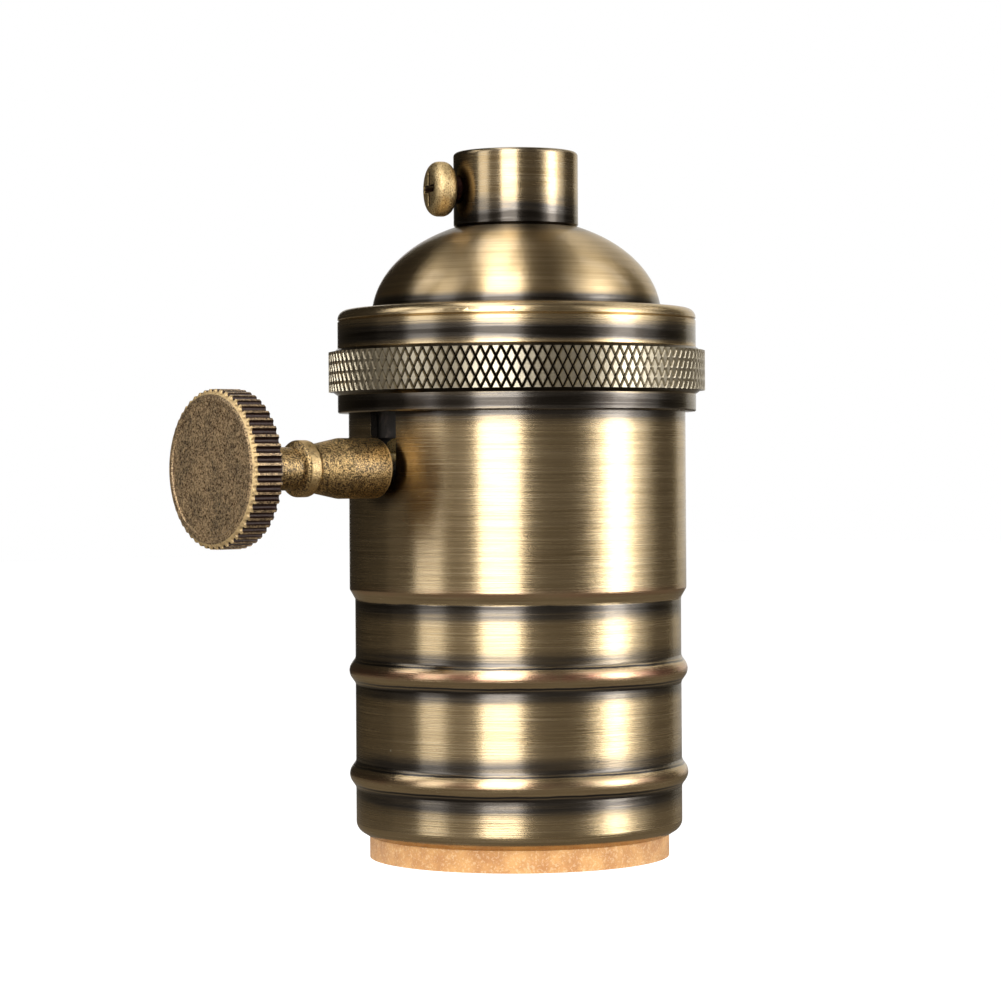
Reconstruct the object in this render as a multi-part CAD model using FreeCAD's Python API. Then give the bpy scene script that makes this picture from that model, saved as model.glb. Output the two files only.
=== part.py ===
"""Keyed lamp holder with a turned brass shell, a rotary switch and a screw shell.

Millimetres, +Z up along the holder's axis. The origin is the centre of the screw
shell's mouth, where the lamp enters from below. The switch knob stands out along -X
and the supply flex enters through the threaded neck at the top.
"""
import FreeCAD, Part
import math
import os

V = FreeCAD.Vector

# ---- Lamp side: screw shell and fibre sleeve ---------------------------------------
LAMP_THREAD_PITCH = 3.629
LAMP_THREAD_DEPTH = 0.95
SHELL_SHEET = 0.35
SHELL_MOUTH_BAND = 3.0          # plain lead-in before the thread
SHELL_TOP_BAND = 4.0
SHELL_TOP_GAP = 3.08            # spigot of the contact base between ledge and shell
SHELL_CROWN_WIDTH = 5.15        # crown's flat, from the bore to the opening in it
MOUTH_RECESS = 2.5              # how far the sleeve reaches past the shell's mouth
SLEEVE_AIR = 1.33               # space between screw shell and sleeve
SLEEVE_WALL = 0.87
SLEEVE_FIT = 0.52               # space between sleeve and barrel, filled at the foot
SHELL_THREAD_FADE = 1.8         # length over which the thread runs out at each end
SHELL_CROWN_ROUND = 1.0
SHELL_ROLL_STEP = 0.02          # the rolled wall starts this much wider than the bands

# ---- Barrel, the rolled lower part of the brass shell ------------------------------
BARREL_RADIUS = 17.32
BARREL_STEP = 0.58              # the upper body is this much larger in radius
BARREL_WALL = 0.9
SLEEVE_PROUD = 2.3              # sleeve showing below the barrel
BARREL_FOOT_RISE = 0.85         # the foot is drawn in over this slope
BARREL_FOOT_ROUND = 1.2
LOWER_BEAD_HEIGHT = 6.55        # bead centre above the barrel's edge
BEAD_SPACING = 10.95
BEAD_HALF_WIDTH = 1.35
BEAD_PEAK = 0.95
BEAD_ROUND = 1.3
BEAD_FOOT_ROUND = 0.45
STEP_HEIGHT = 25.05             # start of the step above the barrel's edge
STEP_RISE = 1.0
STEP_ROUND = 0.5
UPPER_BODY_SHOWN = 18.65        # upper body between the step and the collar's lip
KEY_SLOT_WIDTH = 4.4

# ---- Collar, the turned and knurled union ring -------------------------------------
COLLAR_RADIUS = 19.04
COLLAR_LIP_HEIGHT = 1.85
KNURL_RADIUS = 20.0
KNURL_HEIGHT = 4.2
KNURL_COUNT = 120
KNURL_HALF_ROWS = 4
KNURL_DEPTH = 0.42
KNURL_FLAT = 0.64               # flat top's share of a diamond's width
KNURL_BEVEL = 0.4
KNURL_EDGE_INSET = 0.02         # bevel edges stop this far inside the skirt
COLLAR_EDGE_ROUND = 0.2
SKIRT_HEIGHT = 4.35             # from the knurl's bevel to the shoulder's crown
SHOULDER_FALL = 0.35
SHOULDER_ROUND = 1.3
SHOULDER_LINE_DEPTH = 0.14
SHOULDER_LINE_DROP = 0.95
COLLAR_TOP_WALL = 1.7
UNION_CLEARANCE = 0.06

SEWING = 0.0001                 # edges closer than this are one

# ---- Dome cap and neck -------------------------------------------------------------
DOME_RADIUS = 15.4
DOME_RISE = 10.5
DOME_WALL = 0.9
DOME_CENTRE_DROP = 0.67         # widest level of the dome below the collar's shoulder
DOME_FLANGE_OVERLAP = 0.35      # gap left between the foot flange and the collar
DOME_FLANGE_THICKNESS = 1.2
DOME_IN_COLLAR = 0.12
NECK_RADIUS = 6.63
NECK_SEAT_RADIUS = 6.8          # flat on the dome's crown
NECK_HEIGHT = 8.05
NECK_BORE_RADIUS = 4.46         # tapping size of an M10 x 1 thread
NECK_SPIGOT_WALL = 1.05
NECK_STAKE_OVERLAP = 1.0
NECK_STAKE_HEIGHT = 0.8
NECK_EDGE_ROUND = 0.45
NECK_BASE_BEVEL = 0.3
NECK_SCREW_HEIGHT = 4.0         # clamp screw above the dome's crown
NECK_SCREW_TURN = 20.0          # degrees from the knob, seen from above, clockwise
NECK_SCREW_RADIUS = 1.5
NECK_SCREW_GAP = 0.55           # shank showing between the neck and the head
NECK_SCREW_HEAD_RADIUS = 2.9
NECK_SCREW_HEAD_HEIGHT = 2.5
NECK_SCREW_HEAD_ROUND = 1.05
NECK_SCREW_RECESS_WIDTH = 0.8
NECK_SCREW_TIP_GAP = 0.15

# ---- Switch knob -------------------------------------------------------------------
KEY_ABOVE_STEP = 13.85          # knob axis above the barrel's step
STEM_GAP = 0.84
STEM_RADIUS = 3.1
STEM_LENGTH = 4.75
STEM_CONE_LENGTH = 3.5
STEM_CONE_ROUND = 0.8           # soft start of the cone
STEM_CONE_TIP = 2.42
STEM_BEAD_RADIUS = 2.89
STEM_BEAD_ROUND = 0.6
STEM_BEAD_LENGTH = 2.25
STEM_NECK_RADIUS = 2.19
STEM_NECK_LENGTH = 6.4
KNOB_RADIUS = 7.95
KNOB_THICKNESS = 3.5
KNOB_FLUTES = 52
KNOB_FLUTE_DEPTH = 0.42
KNOB_FLUTE_SHARE = 0.74         # a flute's share of its pitch, the rest is a plain ridge
KNOB_BEVEL = 0.75
KNOB_BEVEL_RISE = 0.5
KNOB_RIM = 0.4
KNOB_FACE_SINK = 0.12
KNOB_BACK_BEVEL = 0.15

# ---- Switch mechanism --------------------------------------------------------------
SHAFT_RADIUS = 1.5
SHAFT_IN_STEM = 6.0
SHAFT_SQUARE = 2.1
SHAFT_TIP_RADIUS = 1.0
SHAFT_TIP_LENGTH = 2.2
SHAFT_RUNNING_FIT = 0.05
SHAFT_CLOSE_FIT = 0.02
BUSHING_WALL = 0.85
BUSHING_FLANGE_WIDTH = 0.7
BUSHING_FLANGE_THICKNESS = 0.8
BUSHING_SEAT_DEPTH = 0.7
CLIP_THICKNESS = 0.6
CLIP_RADIUS = 2.8
CLIP_GROOVE = 0.35
ROTOR_RADIUS = 4.2
ROTOR_DRUM_LENGTH = 7.8
ROTOR_CAM_LENGTH = 3.4
ROTOR_END_CLEARANCE = 0.5
ROTOR_CAM_FLAT = 3.9            # axis to flat on the square detent cam
CONTACT_RING_WIDTH = 4.4
CONTACT_RING_SHEET = 0.45
CONTACT_RING_OPENING = 60.0
CONTACT_NOSE_REACH = 4.7
CONTACT_NOSE_RADIUS = 0.9
CONTACT_SHEET = 0.5
CONTACT_WIDTH = 4.4
CONTACT_PLAY = 0.05
CONTACT_BEND = 0.35
LEAF_SPAN = 3.0                 # from a contact leaf's touch to each of its ends
DETENT_WIDTH = 2.6
DETENT_RISE_LENGTH = 2.2        # length over which the leaf bows down from each end
DETENT_TOUCH = 2.2              # half the flat that rides on the cam
DETENT_ROUND = 0.8
DETENT_SHEET = 0.3

# ---- Insulating blocks -------------------------------------------------------------
BASE_SLIP = 0.05
BLOCK_SLIP = 0.3
BLOCK_HEIGHT = 18.0
KEY_ABOVE_BASE = 9.2            # knob axis above the block's foot
BLOCK_EAR_WALL = 1.7
BLOCK_EAR_HALF_WIDTH = 8.0
CAVITY_HALF_LENGTH = 6.5
CAVITY_SPREAD = 0.49            # half the cavity's width, as a share of the block's radius
CAVITY_FLOOR = 2.5
COVER_THICKNESS = 1.0
COVER_SLIP = 0.15
TERMINAL_SPREAD = 0.717         # terminal screws' place, as a share of the block's radius
TERMINAL_PAD = 7.6
TERMINAL_SHEET = 0.8
TERMINAL_SCREW_RADIUS = 1.5
TERMINAL_SCREW_DEPTH = 6.0
TERMINAL_HEAD_RADIUS = 2.7
TERMINAL_HEAD_HEIGHT = 1.8
BLOCK_SCREW_TURN = 24.0         # degrees from the knob's axis, seen from above
BLOCK_SCREW_AIR = 0.35          # between a head and the ear beside it
BLOCK_SCREW_RADIUS = 1.25
BLOCK_SCREW_HEAD_RADIUS = 2.4
BLOCK_SCREW_HEAD_HEIGHT = 1.5
BLOCK_SCREW_GRIP = 2.6          # thread held in the contact base
RIVET_RADIUS = 1.2
RIVET_HEAD_RADIUS = 2.0
RIVET_HEAD_HEIGHT = 0.6
RIVET_FIT = 0.03
SHELL_RIVET_INSET = 2.95        # rivet's axis inside the shell's bore
TONGUE_WIDTH = 5.0
TONGUE_DROP = 2.6               # how far the centre tongue springs below its rivet

# ---- Heights and radii that follow -------------------------------------------------
Z_SLEEVE_END = -MOUTH_RECESS
Z_BARREL_END = Z_SLEEVE_END + SLEEVE_PROUD
Z_STEP = Z_BARREL_END + STEP_HEIGHT
Z_LIP = Z_STEP + STEP_RISE + UPPER_BODY_SHOWN
Z_KNURL = Z_LIP + COLLAR_LIP_HEIGHT + KNURL_BEVEL
Z_SKIRT = Z_KNURL + KNURL_HEIGHT + KNURL_BEVEL
Z_SHOULDER = Z_SKIRT + SKIRT_HEIGHT
Z_FLANGE_TOP = Z_SHOULDER - COLLAR_TOP_WALL
Z_BARREL_TOP = Z_FLANGE_TOP - DOME_FLANGE_THICKNESS
Z_KEY = Z_STEP + KEY_ABOVE_STEP
Z_BASE_TOP = Z_KEY - KEY_ABOVE_BASE
Z_BLOCK_TOP = Z_BASE_TOP + BLOCK_HEIGHT

SLEEVE_RADIUS = BARREL_RADIUS - BARREL_WALL - SLEEVE_FIT
SLEEVE_BORE_RADIUS = SLEEVE_RADIUS - SLEEVE_WALL
SHELL_OUTER_RADIUS = SLEEVE_BORE_RADIUS - SLEEVE_AIR
LAMP_BORE_RADIUS = SHELL_OUTER_RADIUS - SHELL_SHEET     # clears the lamp's cap
SHELL_CROWN_HOLE = LAMP_BORE_RADIUS - SHELL_CROWN_WIDTH
SHELL_RIVET_DISTANCE = LAMP_BORE_RADIUS - SHELL_RIVET_INSET
UPPER_RADIUS = BARREL_RADIUS + BARREL_STEP
UPPER_BORE = UPPER_RADIUS - BARREL_WALL
BLOCK_RADIUS = UPPER_BORE - BLOCK_SLIP
EAR_BORE = BLOCK_RADIUS - BLOCK_EAR_WALL
COLLAR_BORE = UPPER_RADIUS + UNION_CLEARANCE
STEM_START = UPPER_RADIUS + STEM_GAP
Z_DOME = Z_SHOULDER - SHOULDER_FALL - DOME_CENTRE_DROP
Z_CROWN = Z_DOME + DOME_RISE * math.sqrt(1 - (NECK_SEAT_RADIUS / DOME_RADIUS) ** 2)
Z_CROWN_INSIDE = Z_CROWN - DOME_WALL
Z_NECK_FOOT = Z_CROWN_INSIDE - NECK_STAKE_HEIGHT
Z_NECK_TOP = Z_CROWN + NECK_HEIGHT
BUSHING_RADIUS = SHAFT_RADIUS + SHAFT_RUNNING_FIT + BUSHING_WALL
BUSHING_SEAT = BLOCK_RADIUS - BUSHING_SEAT_DEPTH
CLIP_BORE = SHAFT_RADIUS - CLIP_GROOVE
CLIP_START = CAVITY_HALF_LENGTH - CLIP_THICKNESS - CONTACT_PLAY
ROTOR_END = CAVITY_HALF_LENGTH - ROTOR_END_CLEARANCE
ROTOR_START = ROTOR_END - ROTOR_CAM_LENGTH - ROTOR_DRUM_LENGTH
CAVITY_HALF_WIDTH = CAVITY_SPREAD * BLOCK_RADIUS
TERMINAL_DISTANCE = TERMINAL_SPREAD * BLOCK_RADIUS
BLOCK_SCREW_DISTANCE = EAR_BORE - BLOCK_SCREW_HEAD_RADIUS - BLOCK_SCREW_AIR
BLOCK_SCREW_X = BLOCK_SCREW_DISTANCE * math.cos(math.radians(BLOCK_SCREW_TURN))
BLOCK_SCREW_Y = BLOCK_SCREW_DISTANCE * math.sin(math.radians(BLOCK_SCREW_TURN))
LIVE_LEG = CAVITY_HALF_WIDTH - CONTACT_BEND - CONTACT_SHEET / 2
COVER_HALF_WIDTH = TERMINAL_DISTANCE - TERMINAL_HEAD_RADIUS - 2 * COVER_SLIP
NEUTRAL_LEG = TERMINAL_DISTANCE + TERMINAL_HEAD_RADIUS
CENTRE_RIVET_DISTANCE = LIVE_LEG - CONTACT_SHEET / 2 - CONTACT_BEND - RIVET_HEAD_RADIUS


# ---- Outlines ----------------------------------------------------------------------
def heading(start, end):
    """Unit direction from one outline point to the next."""
    dx, dy = end[0] - start[0], end[1] - start[1]
    length = math.hypot(dx, dy)
    return dx / length, dy / length


def bend(point):
    """Radius asked for at an outline point, zero where none is given."""
    return point[2] if len(point) > 2 else 0.0


def shifted(path, distance):
    """Open path moved to its left by a distance, with each bend's radius following."""
    moved = []
    last = len(path) - 1
    for i, point in enumerate(path):
        before = heading(path[max(i - 1, 0)], path[max(i, 1)])
        after = heading(path[min(i, last - 1)], path[min(i + 1, last)])
        spread = distance / (1.0 + before[0] * after[0] + before[1] * after[1])
        x = point[0] - spread * (before[1] + after[1])
        y = point[1] + spread * (before[0] + after[0])
        left = before[0] * after[1] - before[1] * after[0] > 0
        radius = bend(point) - distance if left else bend(point) + distance
        moved.append((x, y, radius if bend(point) else 0.0))
    return moved


def outline(points, place):
    """Closed wire through points (a, b[, bend radius]); place turns (a, b) into space."""
    edges = []
    count = len(points)
    ends = []
    for i, point in enumerate(points):
        before = heading(points[i - 1], point)
        after = heading(point, points[(i + 1) % count])
        cosine = before[0] * after[0] + before[1] * after[1]
        half_turn = 0.5 * math.acos(max(-1.0, min(1.0, cosine)))
        reach = bend(point) * math.tan(half_turn)
        if reach < 1e-6:
            ends.append((point[:2], None, point[:2]))
            continue
        sagitta = bend(point) * (1.0 / math.cos(half_turn) - 1.0)
        inward = heading((0, 0), (after[0] - before[0], after[1] - before[1]))
        ends.append((
            (point[0] - before[0] * reach, point[1] - before[1] * reach),
            (point[0] + inward[0] * sagitta, point[1] + inward[1] * sagitta),
            (point[0] + after[0] * reach, point[1] + after[1] * reach),
        ))
    for i, (start, middle, end) in enumerate(ends):
        if middle:
            edges.append(Part.Arc(place(*start), place(*middle), place(*end)).toShape())
        following = ends[(i + 1) % count][0]
        if math.dist(end, following) > 1e-6:
            edges.append(Part.makeLine(place(*end), place(*following)))
    return Part.Wire(edges)


def turned(points):
    """Solid of revolution about Z from an outline of (radius, height[, bend]) points."""
    wire = outline(points, lambda r, z: V(r, 0, z))
    return Part.Face(wire).revolve(V(0, 0, 0), V(0, 0, 1), 360)


def bent_strip(path, sheet, width):
    """Sheet strip that follows a middle line of (y, z[, bend]) points, centred on X = 0."""
    edge = shifted(path, sheet / 2) + shifted(path, -sheet / 2)[::-1]
    wire = outline(edge, lambda y, z: V(-width / 2, y, z))
    return Part.Face(wire).extrude(V(width, 0, 0))


def disc(radius, height, x=0.0, y=0.0, z=0.0):
    """Upright cylinder standing on z."""
    return Part.makeCylinder(radius, height, V(x, y, z))


def block(x0, x1, y0, y1, z0, z1):
    """Box between two corners."""
    return Part.makeBox(x1 - x0, y1 - y0, z1 - z0, V(x0, y0, z0))


def on_key_axis(shape, distance=0.0):
    """Shape modelled along +Z from the origin, laid along -X on the knob's axis."""
    laid = shape.copy()
    laid.rotate(V(0, 0, 0), V(0, 1, 0), -90)
    laid.translate(V(-distance, 0, Z_KEY))
    return laid


# ---- Brass shell -------------------------------------------------------------------
def bead(height):
    """Outline points of one rolled bead on the lower body."""
    return [
        (BARREL_RADIUS, height - BEAD_HALF_WIDTH, BEAD_FOOT_ROUND),
        (BARREL_RADIUS + BEAD_PEAK, height, BEAD_ROUND),
        (BARREL_RADIUS, height + BEAD_HALF_WIDTH, BEAD_FOOT_ROUND),
    ]


def barrel_skin():
    """Outside of the barrel from its drawn-in foot to its top edge."""
    lower_bead = Z_BARREL_END + LOWER_BEAD_HEIGHT
    return [
        (SLEEVE_RADIUS + BASE_SLIP, Z_BARREL_END),
        (BARREL_RADIUS, Z_BARREL_END + BARREL_FOOT_RISE, BARREL_FOOT_ROUND),
        *bead(lower_bead),
        *bead(lower_bead + BEAD_SPACING),
        (BARREL_RADIUS, Z_STEP, STEP_ROUND),
        (UPPER_RADIUS, Z_STEP + STEP_RISE, STEP_ROUND),
        (UPPER_RADIUS, Z_BARREL_TOP),
    ]


def block_seat():
    """Height of the barrel's inner ledge, on which the switch block stands."""
    return shifted(barrel_skin(), BARREL_WALL)[-2][1]


Z_BASE_FLANGE = block_seat()
Z_SHELL_TOP = Z_BASE_FLANGE - SHELL_TOP_GAP
SHELL_THREAD_LENGTH = Z_SHELL_TOP - SHELL_TOP_BAND - SHELL_MOUTH_BAND


def barrel():
    """Rolled tube with two beads, a step and the knob's slot, open at the top edge."""
    skin = barrel_skin()
    inside = shifted(skin, BARREL_WALL)
    (r0, z0), (r1, z1) = inside[0][:2], inside[1][:2]
    edge = skin[0][0]
    inside[0] = (edge, z0 + (edge - r0) * (z1 - z0) / (r1 - r0))
    shell = turned(skin + inside[::-1])
    half = KEY_SLOT_WIDTH / 2
    slot = block(-2 * UPPER_RADIUS, 0, -half, half, Z_KEY, Z_BARREL_TOP + BARREL_WALL)
    round_end = on_key_axis(disc(half, 2 * UPPER_RADIUS))
    return shell.cut(slot.fuse(round_end))


def knurl_facets():
    """Planar faces of the knurled band, from the lower to the upper bevel's plain edge.

    The band is a lattice of rhombic cells. Grooves meet at the cells' corners, on the
    root radius, and each cell carries a smaller flat rhombus, the diamond's worn top.
    Returns the faces, and the two plain edges as polygons.
    """
    half_angle = math.pi / KNURL_COUNT
    half_height = KNURL_HEIGHT / KNURL_HALF_ROWS
    root = KNURL_RADIUS - KNURL_DEPTH
    side = root * math.sin(half_angle)
    side_depth = root * math.cos(half_angle)
    flat_side = KNURL_FLAT * KNURL_RADIUS * math.sin(half_angle)
    flat_depth = math.sqrt(KNURL_RADIUS ** 2 - flat_side ** 2)
    # A flank's plane holds one groove edge and the side corner of the flat top. The
    # flat's upper corner is where that plane meets the cell's middle.
    rise, drop = flat_depth - side_depth, root - side_depth
    share = side * (rise - (rise * (side - flat_side)) / side)
    share /= side * rise - drop * (side - flat_side)
    flat_height = share * half_height
    faces = []

    def spot(angle, height, across, up, depth):
        """Point in a cell's own frame: across it, up it, and depth from the axis."""
        cosine, sine = math.cos(angle), math.sin(angle)
        return V(depth * cosine - across * sine, depth * sine + across * cosine, height + up)

    def facet(*corners):
        faces.append(Part.Face(Part.makePolygon([*corners, corners[0]])))

    def flanks(left, right, peak, flat_left, flat_right, flat_peak):
        facet(right, peak, flat_peak, flat_right)
        facet(peak, left, flat_left, flat_peak)

    for row in range(KNURL_HALF_ROWS + 1):
        height = Z_KNURL + row * half_height
        turn = half_angle * (row % 2)
        for column in range(KNURL_COUNT):
            angle = 2 * column * half_angle + turn
            right = spot(angle, height, side, 0, side_depth)
            left = spot(angle, height, -side, 0, side_depth)
            flat_right = spot(angle, height, flat_side, 0, flat_depth)
            flat_left = spot(angle, height, -flat_side, 0, flat_depth)
            flat_top = spot(angle, height, 0, flat_height, flat_depth)
            flat_bottom = spot(angle, height, 0, -flat_height, flat_depth)
            if row < KNURL_HALF_ROWS:
                top = spot(angle, height, 0, half_height, root)
                flanks(left, right, top, flat_left, flat_right, flat_top)
            if row > 0:
                bottom = spot(angle, height, 0, -half_height, root)
                flanks(right, left, bottom, flat_right, flat_left, flat_bottom)
            if 0 < row < KNURL_HALF_ROWS:
                facet(flat_right, flat_top, flat_left, flat_bottom)
            else:
                facet(flat_right, flat_left, flat_top if row == 0 else flat_bottom)
                facet(left, right, flat_right, flat_left)
    plain_edges = []
    for row, up in ((0, -1), (KNURL_HALF_ROWS, 1)):
        height = Z_KNURL + row * half_height
        turn = half_angle * (row % 2) - half_angle
        angles = [2 * column * half_angle + turn for column in range(KNURL_COUNT)]
        rim = [spot(angle, height, 0, 0, root) for angle in angles]
        edge_radius = COLLAR_RADIUS - KNURL_EDGE_INSET
        edge = [spot(angle, height, 0, up * KNURL_BEVEL, edge_radius) for angle in angles]
        for i in range(KNURL_COUNT):
            facet(rim[i - 1], rim[i], edge[i], edge[i - 1])
        plain_edges.append(Part.makePolygon([*edge, edge[0]]))
    return faces, plain_edges


def knurled_collar():
    """Union ring: a turned body whose knurled band is set in between two flat seats."""
    crown = DOME_RADIUS + DOME_IN_COLLAR
    line = Z_SHOULDER - SHOULDER_FALL - SHOULDER_LINE_DROP
    groove = SHOULDER_LINE_DEPTH
    body = turned([
        (COLLAR_RADIUS, line - 2 * groove),
        (COLLAR_RADIUS - groove, line - groove),
        (COLLAR_RADIUS, line),
        (COLLAR_RADIUS, Z_SHOULDER - SHOULDER_FALL, SHOULDER_ROUND - 2 * groove),
        (crown, Z_SHOULDER),
        (crown, Z_FLANGE_TOP),
        (COLLAR_BORE, Z_FLANGE_TOP),
        (COLLAR_BORE, Z_LIP),
        (COLLAR_RADIUS, Z_LIP, COLLAR_EDGE_ROUND),
        (COLLAR_RADIUS, Z_KNURL - KNURL_BEVEL),
        (COLLAR_RADIUS + 1.0, Z_KNURL - KNURL_BEVEL),
        (COLLAR_RADIUS + 1.0, Z_SKIRT),
        (COLLAR_RADIUS, Z_SKIRT),
    ])
    beyond = COLLAR_RADIUS + KNURL_EDGE_INSET
    faces = [f for f in body.Faces if max(v.X for v in f.Vertexes) < beyond]
    knurl, edges = knurl_facets()
    for edge, height in zip(edges, (Z_KNURL - KNURL_BEVEL, Z_SKIRT)):
        seat = Part.Wire(Part.makeCircle(COLLAR_RADIUS, V(0, 0, height)))
        faces.append(flat_ring(seat, edge))
    return closed_solid(faces + knurl)


def flat_ring(outer, inner):
    """Flat face between two closed wires of one level."""
    return Part.Face(outer).cut(Part.Face(inner)).Faces[0]


def closed_solid(faces):
    """Solid bounded by faces that meet edge to edge."""
    shell = Part.makeShell(faces)
    shell.sewShape()
    solid = Part.Solid(shell)
    solid.fix(SEWING, SEWING, 10 * SEWING)
    return solid


def dome_cap():
    """Spun dome with a flat crown for the neck and a foot flange under the collar."""
    inner = (DOME_RADIUS - DOME_WALL, DOME_RISE - DOME_WALL)
    hole = NECK_RADIUS - NECK_SPIGOT_WALL + RIVET_FIT
    outside = Part.Ellipse(V(DOME_RADIUS, 0, Z_DOME), V(0, 0, Z_DOME + DOME_RISE), V(0, 0, Z_DOME))
    inside = Part.Ellipse(V(inner[0], 0, Z_DOME), V(0, 0, Z_DOME + inner[1]), V(0, 0, Z_DOME))
    outer_end = math.asin((Z_CROWN - Z_DOME) / DOME_RISE)
    inner_end = math.asin((Z_CROWN_INSIDE - Z_DOME) / inner[1])
    corners = [
        outside.value(outer_end),
        V(hole, 0, Z_CROWN),
        V(hole, 0, Z_CROWN_INSIDE),
        inside.value(inner_end),
    ]
    flange = COLLAR_BORE - DOME_FLANGE_OVERLAP
    foot = [
        V(inner[0], 0, Z_DOME),
        V(inner[0], 0, Z_BARREL_TOP),
        V(flange, 0, Z_BARREL_TOP),
        V(flange, 0, Z_FLANGE_TOP),
        V(DOME_RADIUS, 0, Z_FLANGE_TOP),
        V(DOME_RADIUS, 0, Z_DOME),
    ]
    edges = [Part.Arc(outside, 0, outer_end).toShape(), Part.Arc(inside, 0, inner_end).toShape()]
    edges += Part.makePolygon(corners).Edges + Part.makePolygon(foot).Edges
    wire = Part.Wire(Part.__sortEdges__(edges))
    return Part.Face(wire).revolve(V(0, 0, 0), V(0, 0, 1), 360)


def neck_screw_place(shape):
    """Shape modelled along +Z, laid outward along the neck's clamp screw."""
    laid = shape.copy()
    laid.rotate(V(0, 0, 0), V(0, 1, 0), -90)
    laid.rotate(V(0, 0, 0), V(0, 0, 1), -NECK_SCREW_TURN)
    laid.translate(V(0, 0, Z_CROWN + NECK_SCREW_HEIGHT))
    return laid


def neck_bushing():
    """Threaded neck, staked over inside the dome and tapped for the clamp screw."""
    spigot = NECK_RADIUS - NECK_SPIGOT_WALL
    stake = spigot + NECK_STAKE_OVERLAP
    body = turned([
        (NECK_BORE_RADIUS, Z_NECK_FOOT),
        (stake, Z_NECK_FOOT, NECK_EDGE_ROUND),
        (stake, Z_CROWN_INSIDE),
        (spigot, Z_CROWN_INSIDE),
        (spigot, Z_CROWN),
        (NECK_RADIUS - NECK_BASE_BEVEL, Z_CROWN),
        (NECK_RADIUS, Z_CROWN + NECK_BASE_BEVEL),
        (NECK_RADIUS, Z_NECK_TOP, NECK_EDGE_ROUND),
        (NECK_BORE_RADIUS, Z_NECK_TOP),
    ])
    return body.cut(neck_screw_place(disc(NECK_SCREW_RADIUS + RIVET_FIT, 2 * NECK_RADIUS)))


def neck_screw():
    """Clamp screw with a cross recess; its tip stops just short of the neck's bore."""
    start = NECK_BORE_RADIUS + NECK_SCREW_TIP_GAP
    seat = NECK_RADIUS + NECK_SCREW_GAP
    top = seat + NECK_SCREW_HEAD_HEIGHT
    body = turned([
        (0, start),
        (NECK_SCREW_RADIUS, start),
        (NECK_SCREW_RADIUS, seat),
        (NECK_SCREW_HEAD_RADIUS, seat, NECK_SCREW_HEAD_ROUND),
        (NECK_SCREW_HEAD_RADIUS, top, NECK_SCREW_HEAD_ROUND),
        (0, top),
    ])
    reach = 0.62 * NECK_SCREW_HEAD_RADIUS
    half = NECK_SCREW_RECESS_WIDTH / 2
    floor = top - NECK_SCREW_HEAD_HEIGHT / 2
    body = body.cut(block(-reach, reach, -half, half, floor, top + 1))
    return neck_screw_place(body.cut(block(-half, half, -reach, reach, floor, top + 1)))


# ---- Lamp side ---------------------------------------------------------------------
def insulating_sleeve():
    """Fibre tube between the screw shell and the barrel, pushed up over the base."""
    tube = disc(SLEEVE_RADIUS, Z_BASE_FLANGE - Z_SLEEVE_END, z=Z_SLEEVE_END)
    return tube.cut(disc(SLEEVE_BORE_RADIUS, Z_BASE_FLANGE - Z_SLEEVE_END, z=Z_SLEEVE_END))


def thread_surface(radius):
    """Wall of the rolled thread as a surface over one turn and the thread's length.

    The radius falls from the plain wall into each crest by a cosine of the height
    less the turn's share of a pitch, and fades back to the plain wall at both ends.
    """
    turns, rows = 28, 42
    fade = SHELL_THREAD_FADE
    grid = []
    radius += SHELL_ROLL_STEP
    for row in range(rows + 1):
        height = SHELL_THREAD_LENGTH * row / rows
        near_end = min(height, SHELL_THREAD_LENGTH - height, fade) / fade
        weight = near_end * near_end * (3 - 2 * near_end)
        line = []
        for column in range(turns + 1):
            angle = 2 * math.pi * column / turns
            phase = 2 * math.pi * height / LAMP_THREAD_PITCH - angle
            reach = radius - weight * LAMP_THREAD_DEPTH * (0.5 - 0.5 * math.cos(phase))
            line.append(V(reach * math.cos(angle), reach * math.sin(angle),
                          SHELL_MOUTH_BAND + height))
        grid.append(line)
    surface = Part.BSplineSurface()
    surface.interpolate(grid)
    return surface.toShape()


def lies_at(shape, levels):
    """Whether a face or an edge lies flat at one of the given heights."""
    box = shape.BoundBox
    return box.ZLength < SEWING and min(abs(box.ZMin - level) for level in levels) < SEWING


def screw_shell():
    """Drawn shell with a rolled screw thread and an inturned crown that takes the rivets."""
    z_band = SHELL_MOUTH_BAND + SHELL_THREAD_LENGTH
    outer = SHELL_OUTER_RADIUS
    section = turned([
        (LAMP_BORE_RADIUS, 0), (outer, 0), (outer, Z_SHELL_TOP, SHELL_CROWN_ROUND),
        (SHELL_CROWN_HOLE, Z_SHELL_TOP), (SHELL_CROWN_HOLE, Z_SHELL_TOP - SHELL_SHEET),
        (LAMP_BORE_RADIUS, Z_SHELL_TOP - SHELL_SHEET, SHELL_CROWN_ROUND - SHELL_SHEET),
    ])
    middle = turned([
        (LAMP_BORE_RADIUS - 1, SHELL_MOUTH_BAND), (outer + 1, SHELL_MOUTH_BAND),
        (outer + 1, z_band), (LAMP_BORE_RADIUS - 1, z_band),
    ])
    ends = section.cut(middle)
    levels = (SHELL_MOUTH_BAND, z_band)
    faces = [f for f in ends.Faces if not lies_at(f, levels)]
    for radius in (LAMP_BORE_RADIUS, outer):
        wall = thread_surface(radius)
        faces.append(wall)
        for level in levels:
            rim = Part.Wire([e for e in wall.Edges if lies_at(e, (level,))])
            plain = Part.Wire(Part.makeCircle(radius, V(0, 0, level)))
            faces.append(flat_ring(rim, plain))
    shell = closed_solid(faces)
    for side in (-1, 1):
        shell = shell.cut(disc(RIVET_RADIUS + RIVET_FIT, 2 * SHELL_SHEET + 1, 0,
                               side * SHELL_RIVET_DISTANCE, Z_SHELL_TOP - 2 * SHELL_SHEET))
    return shell


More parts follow.
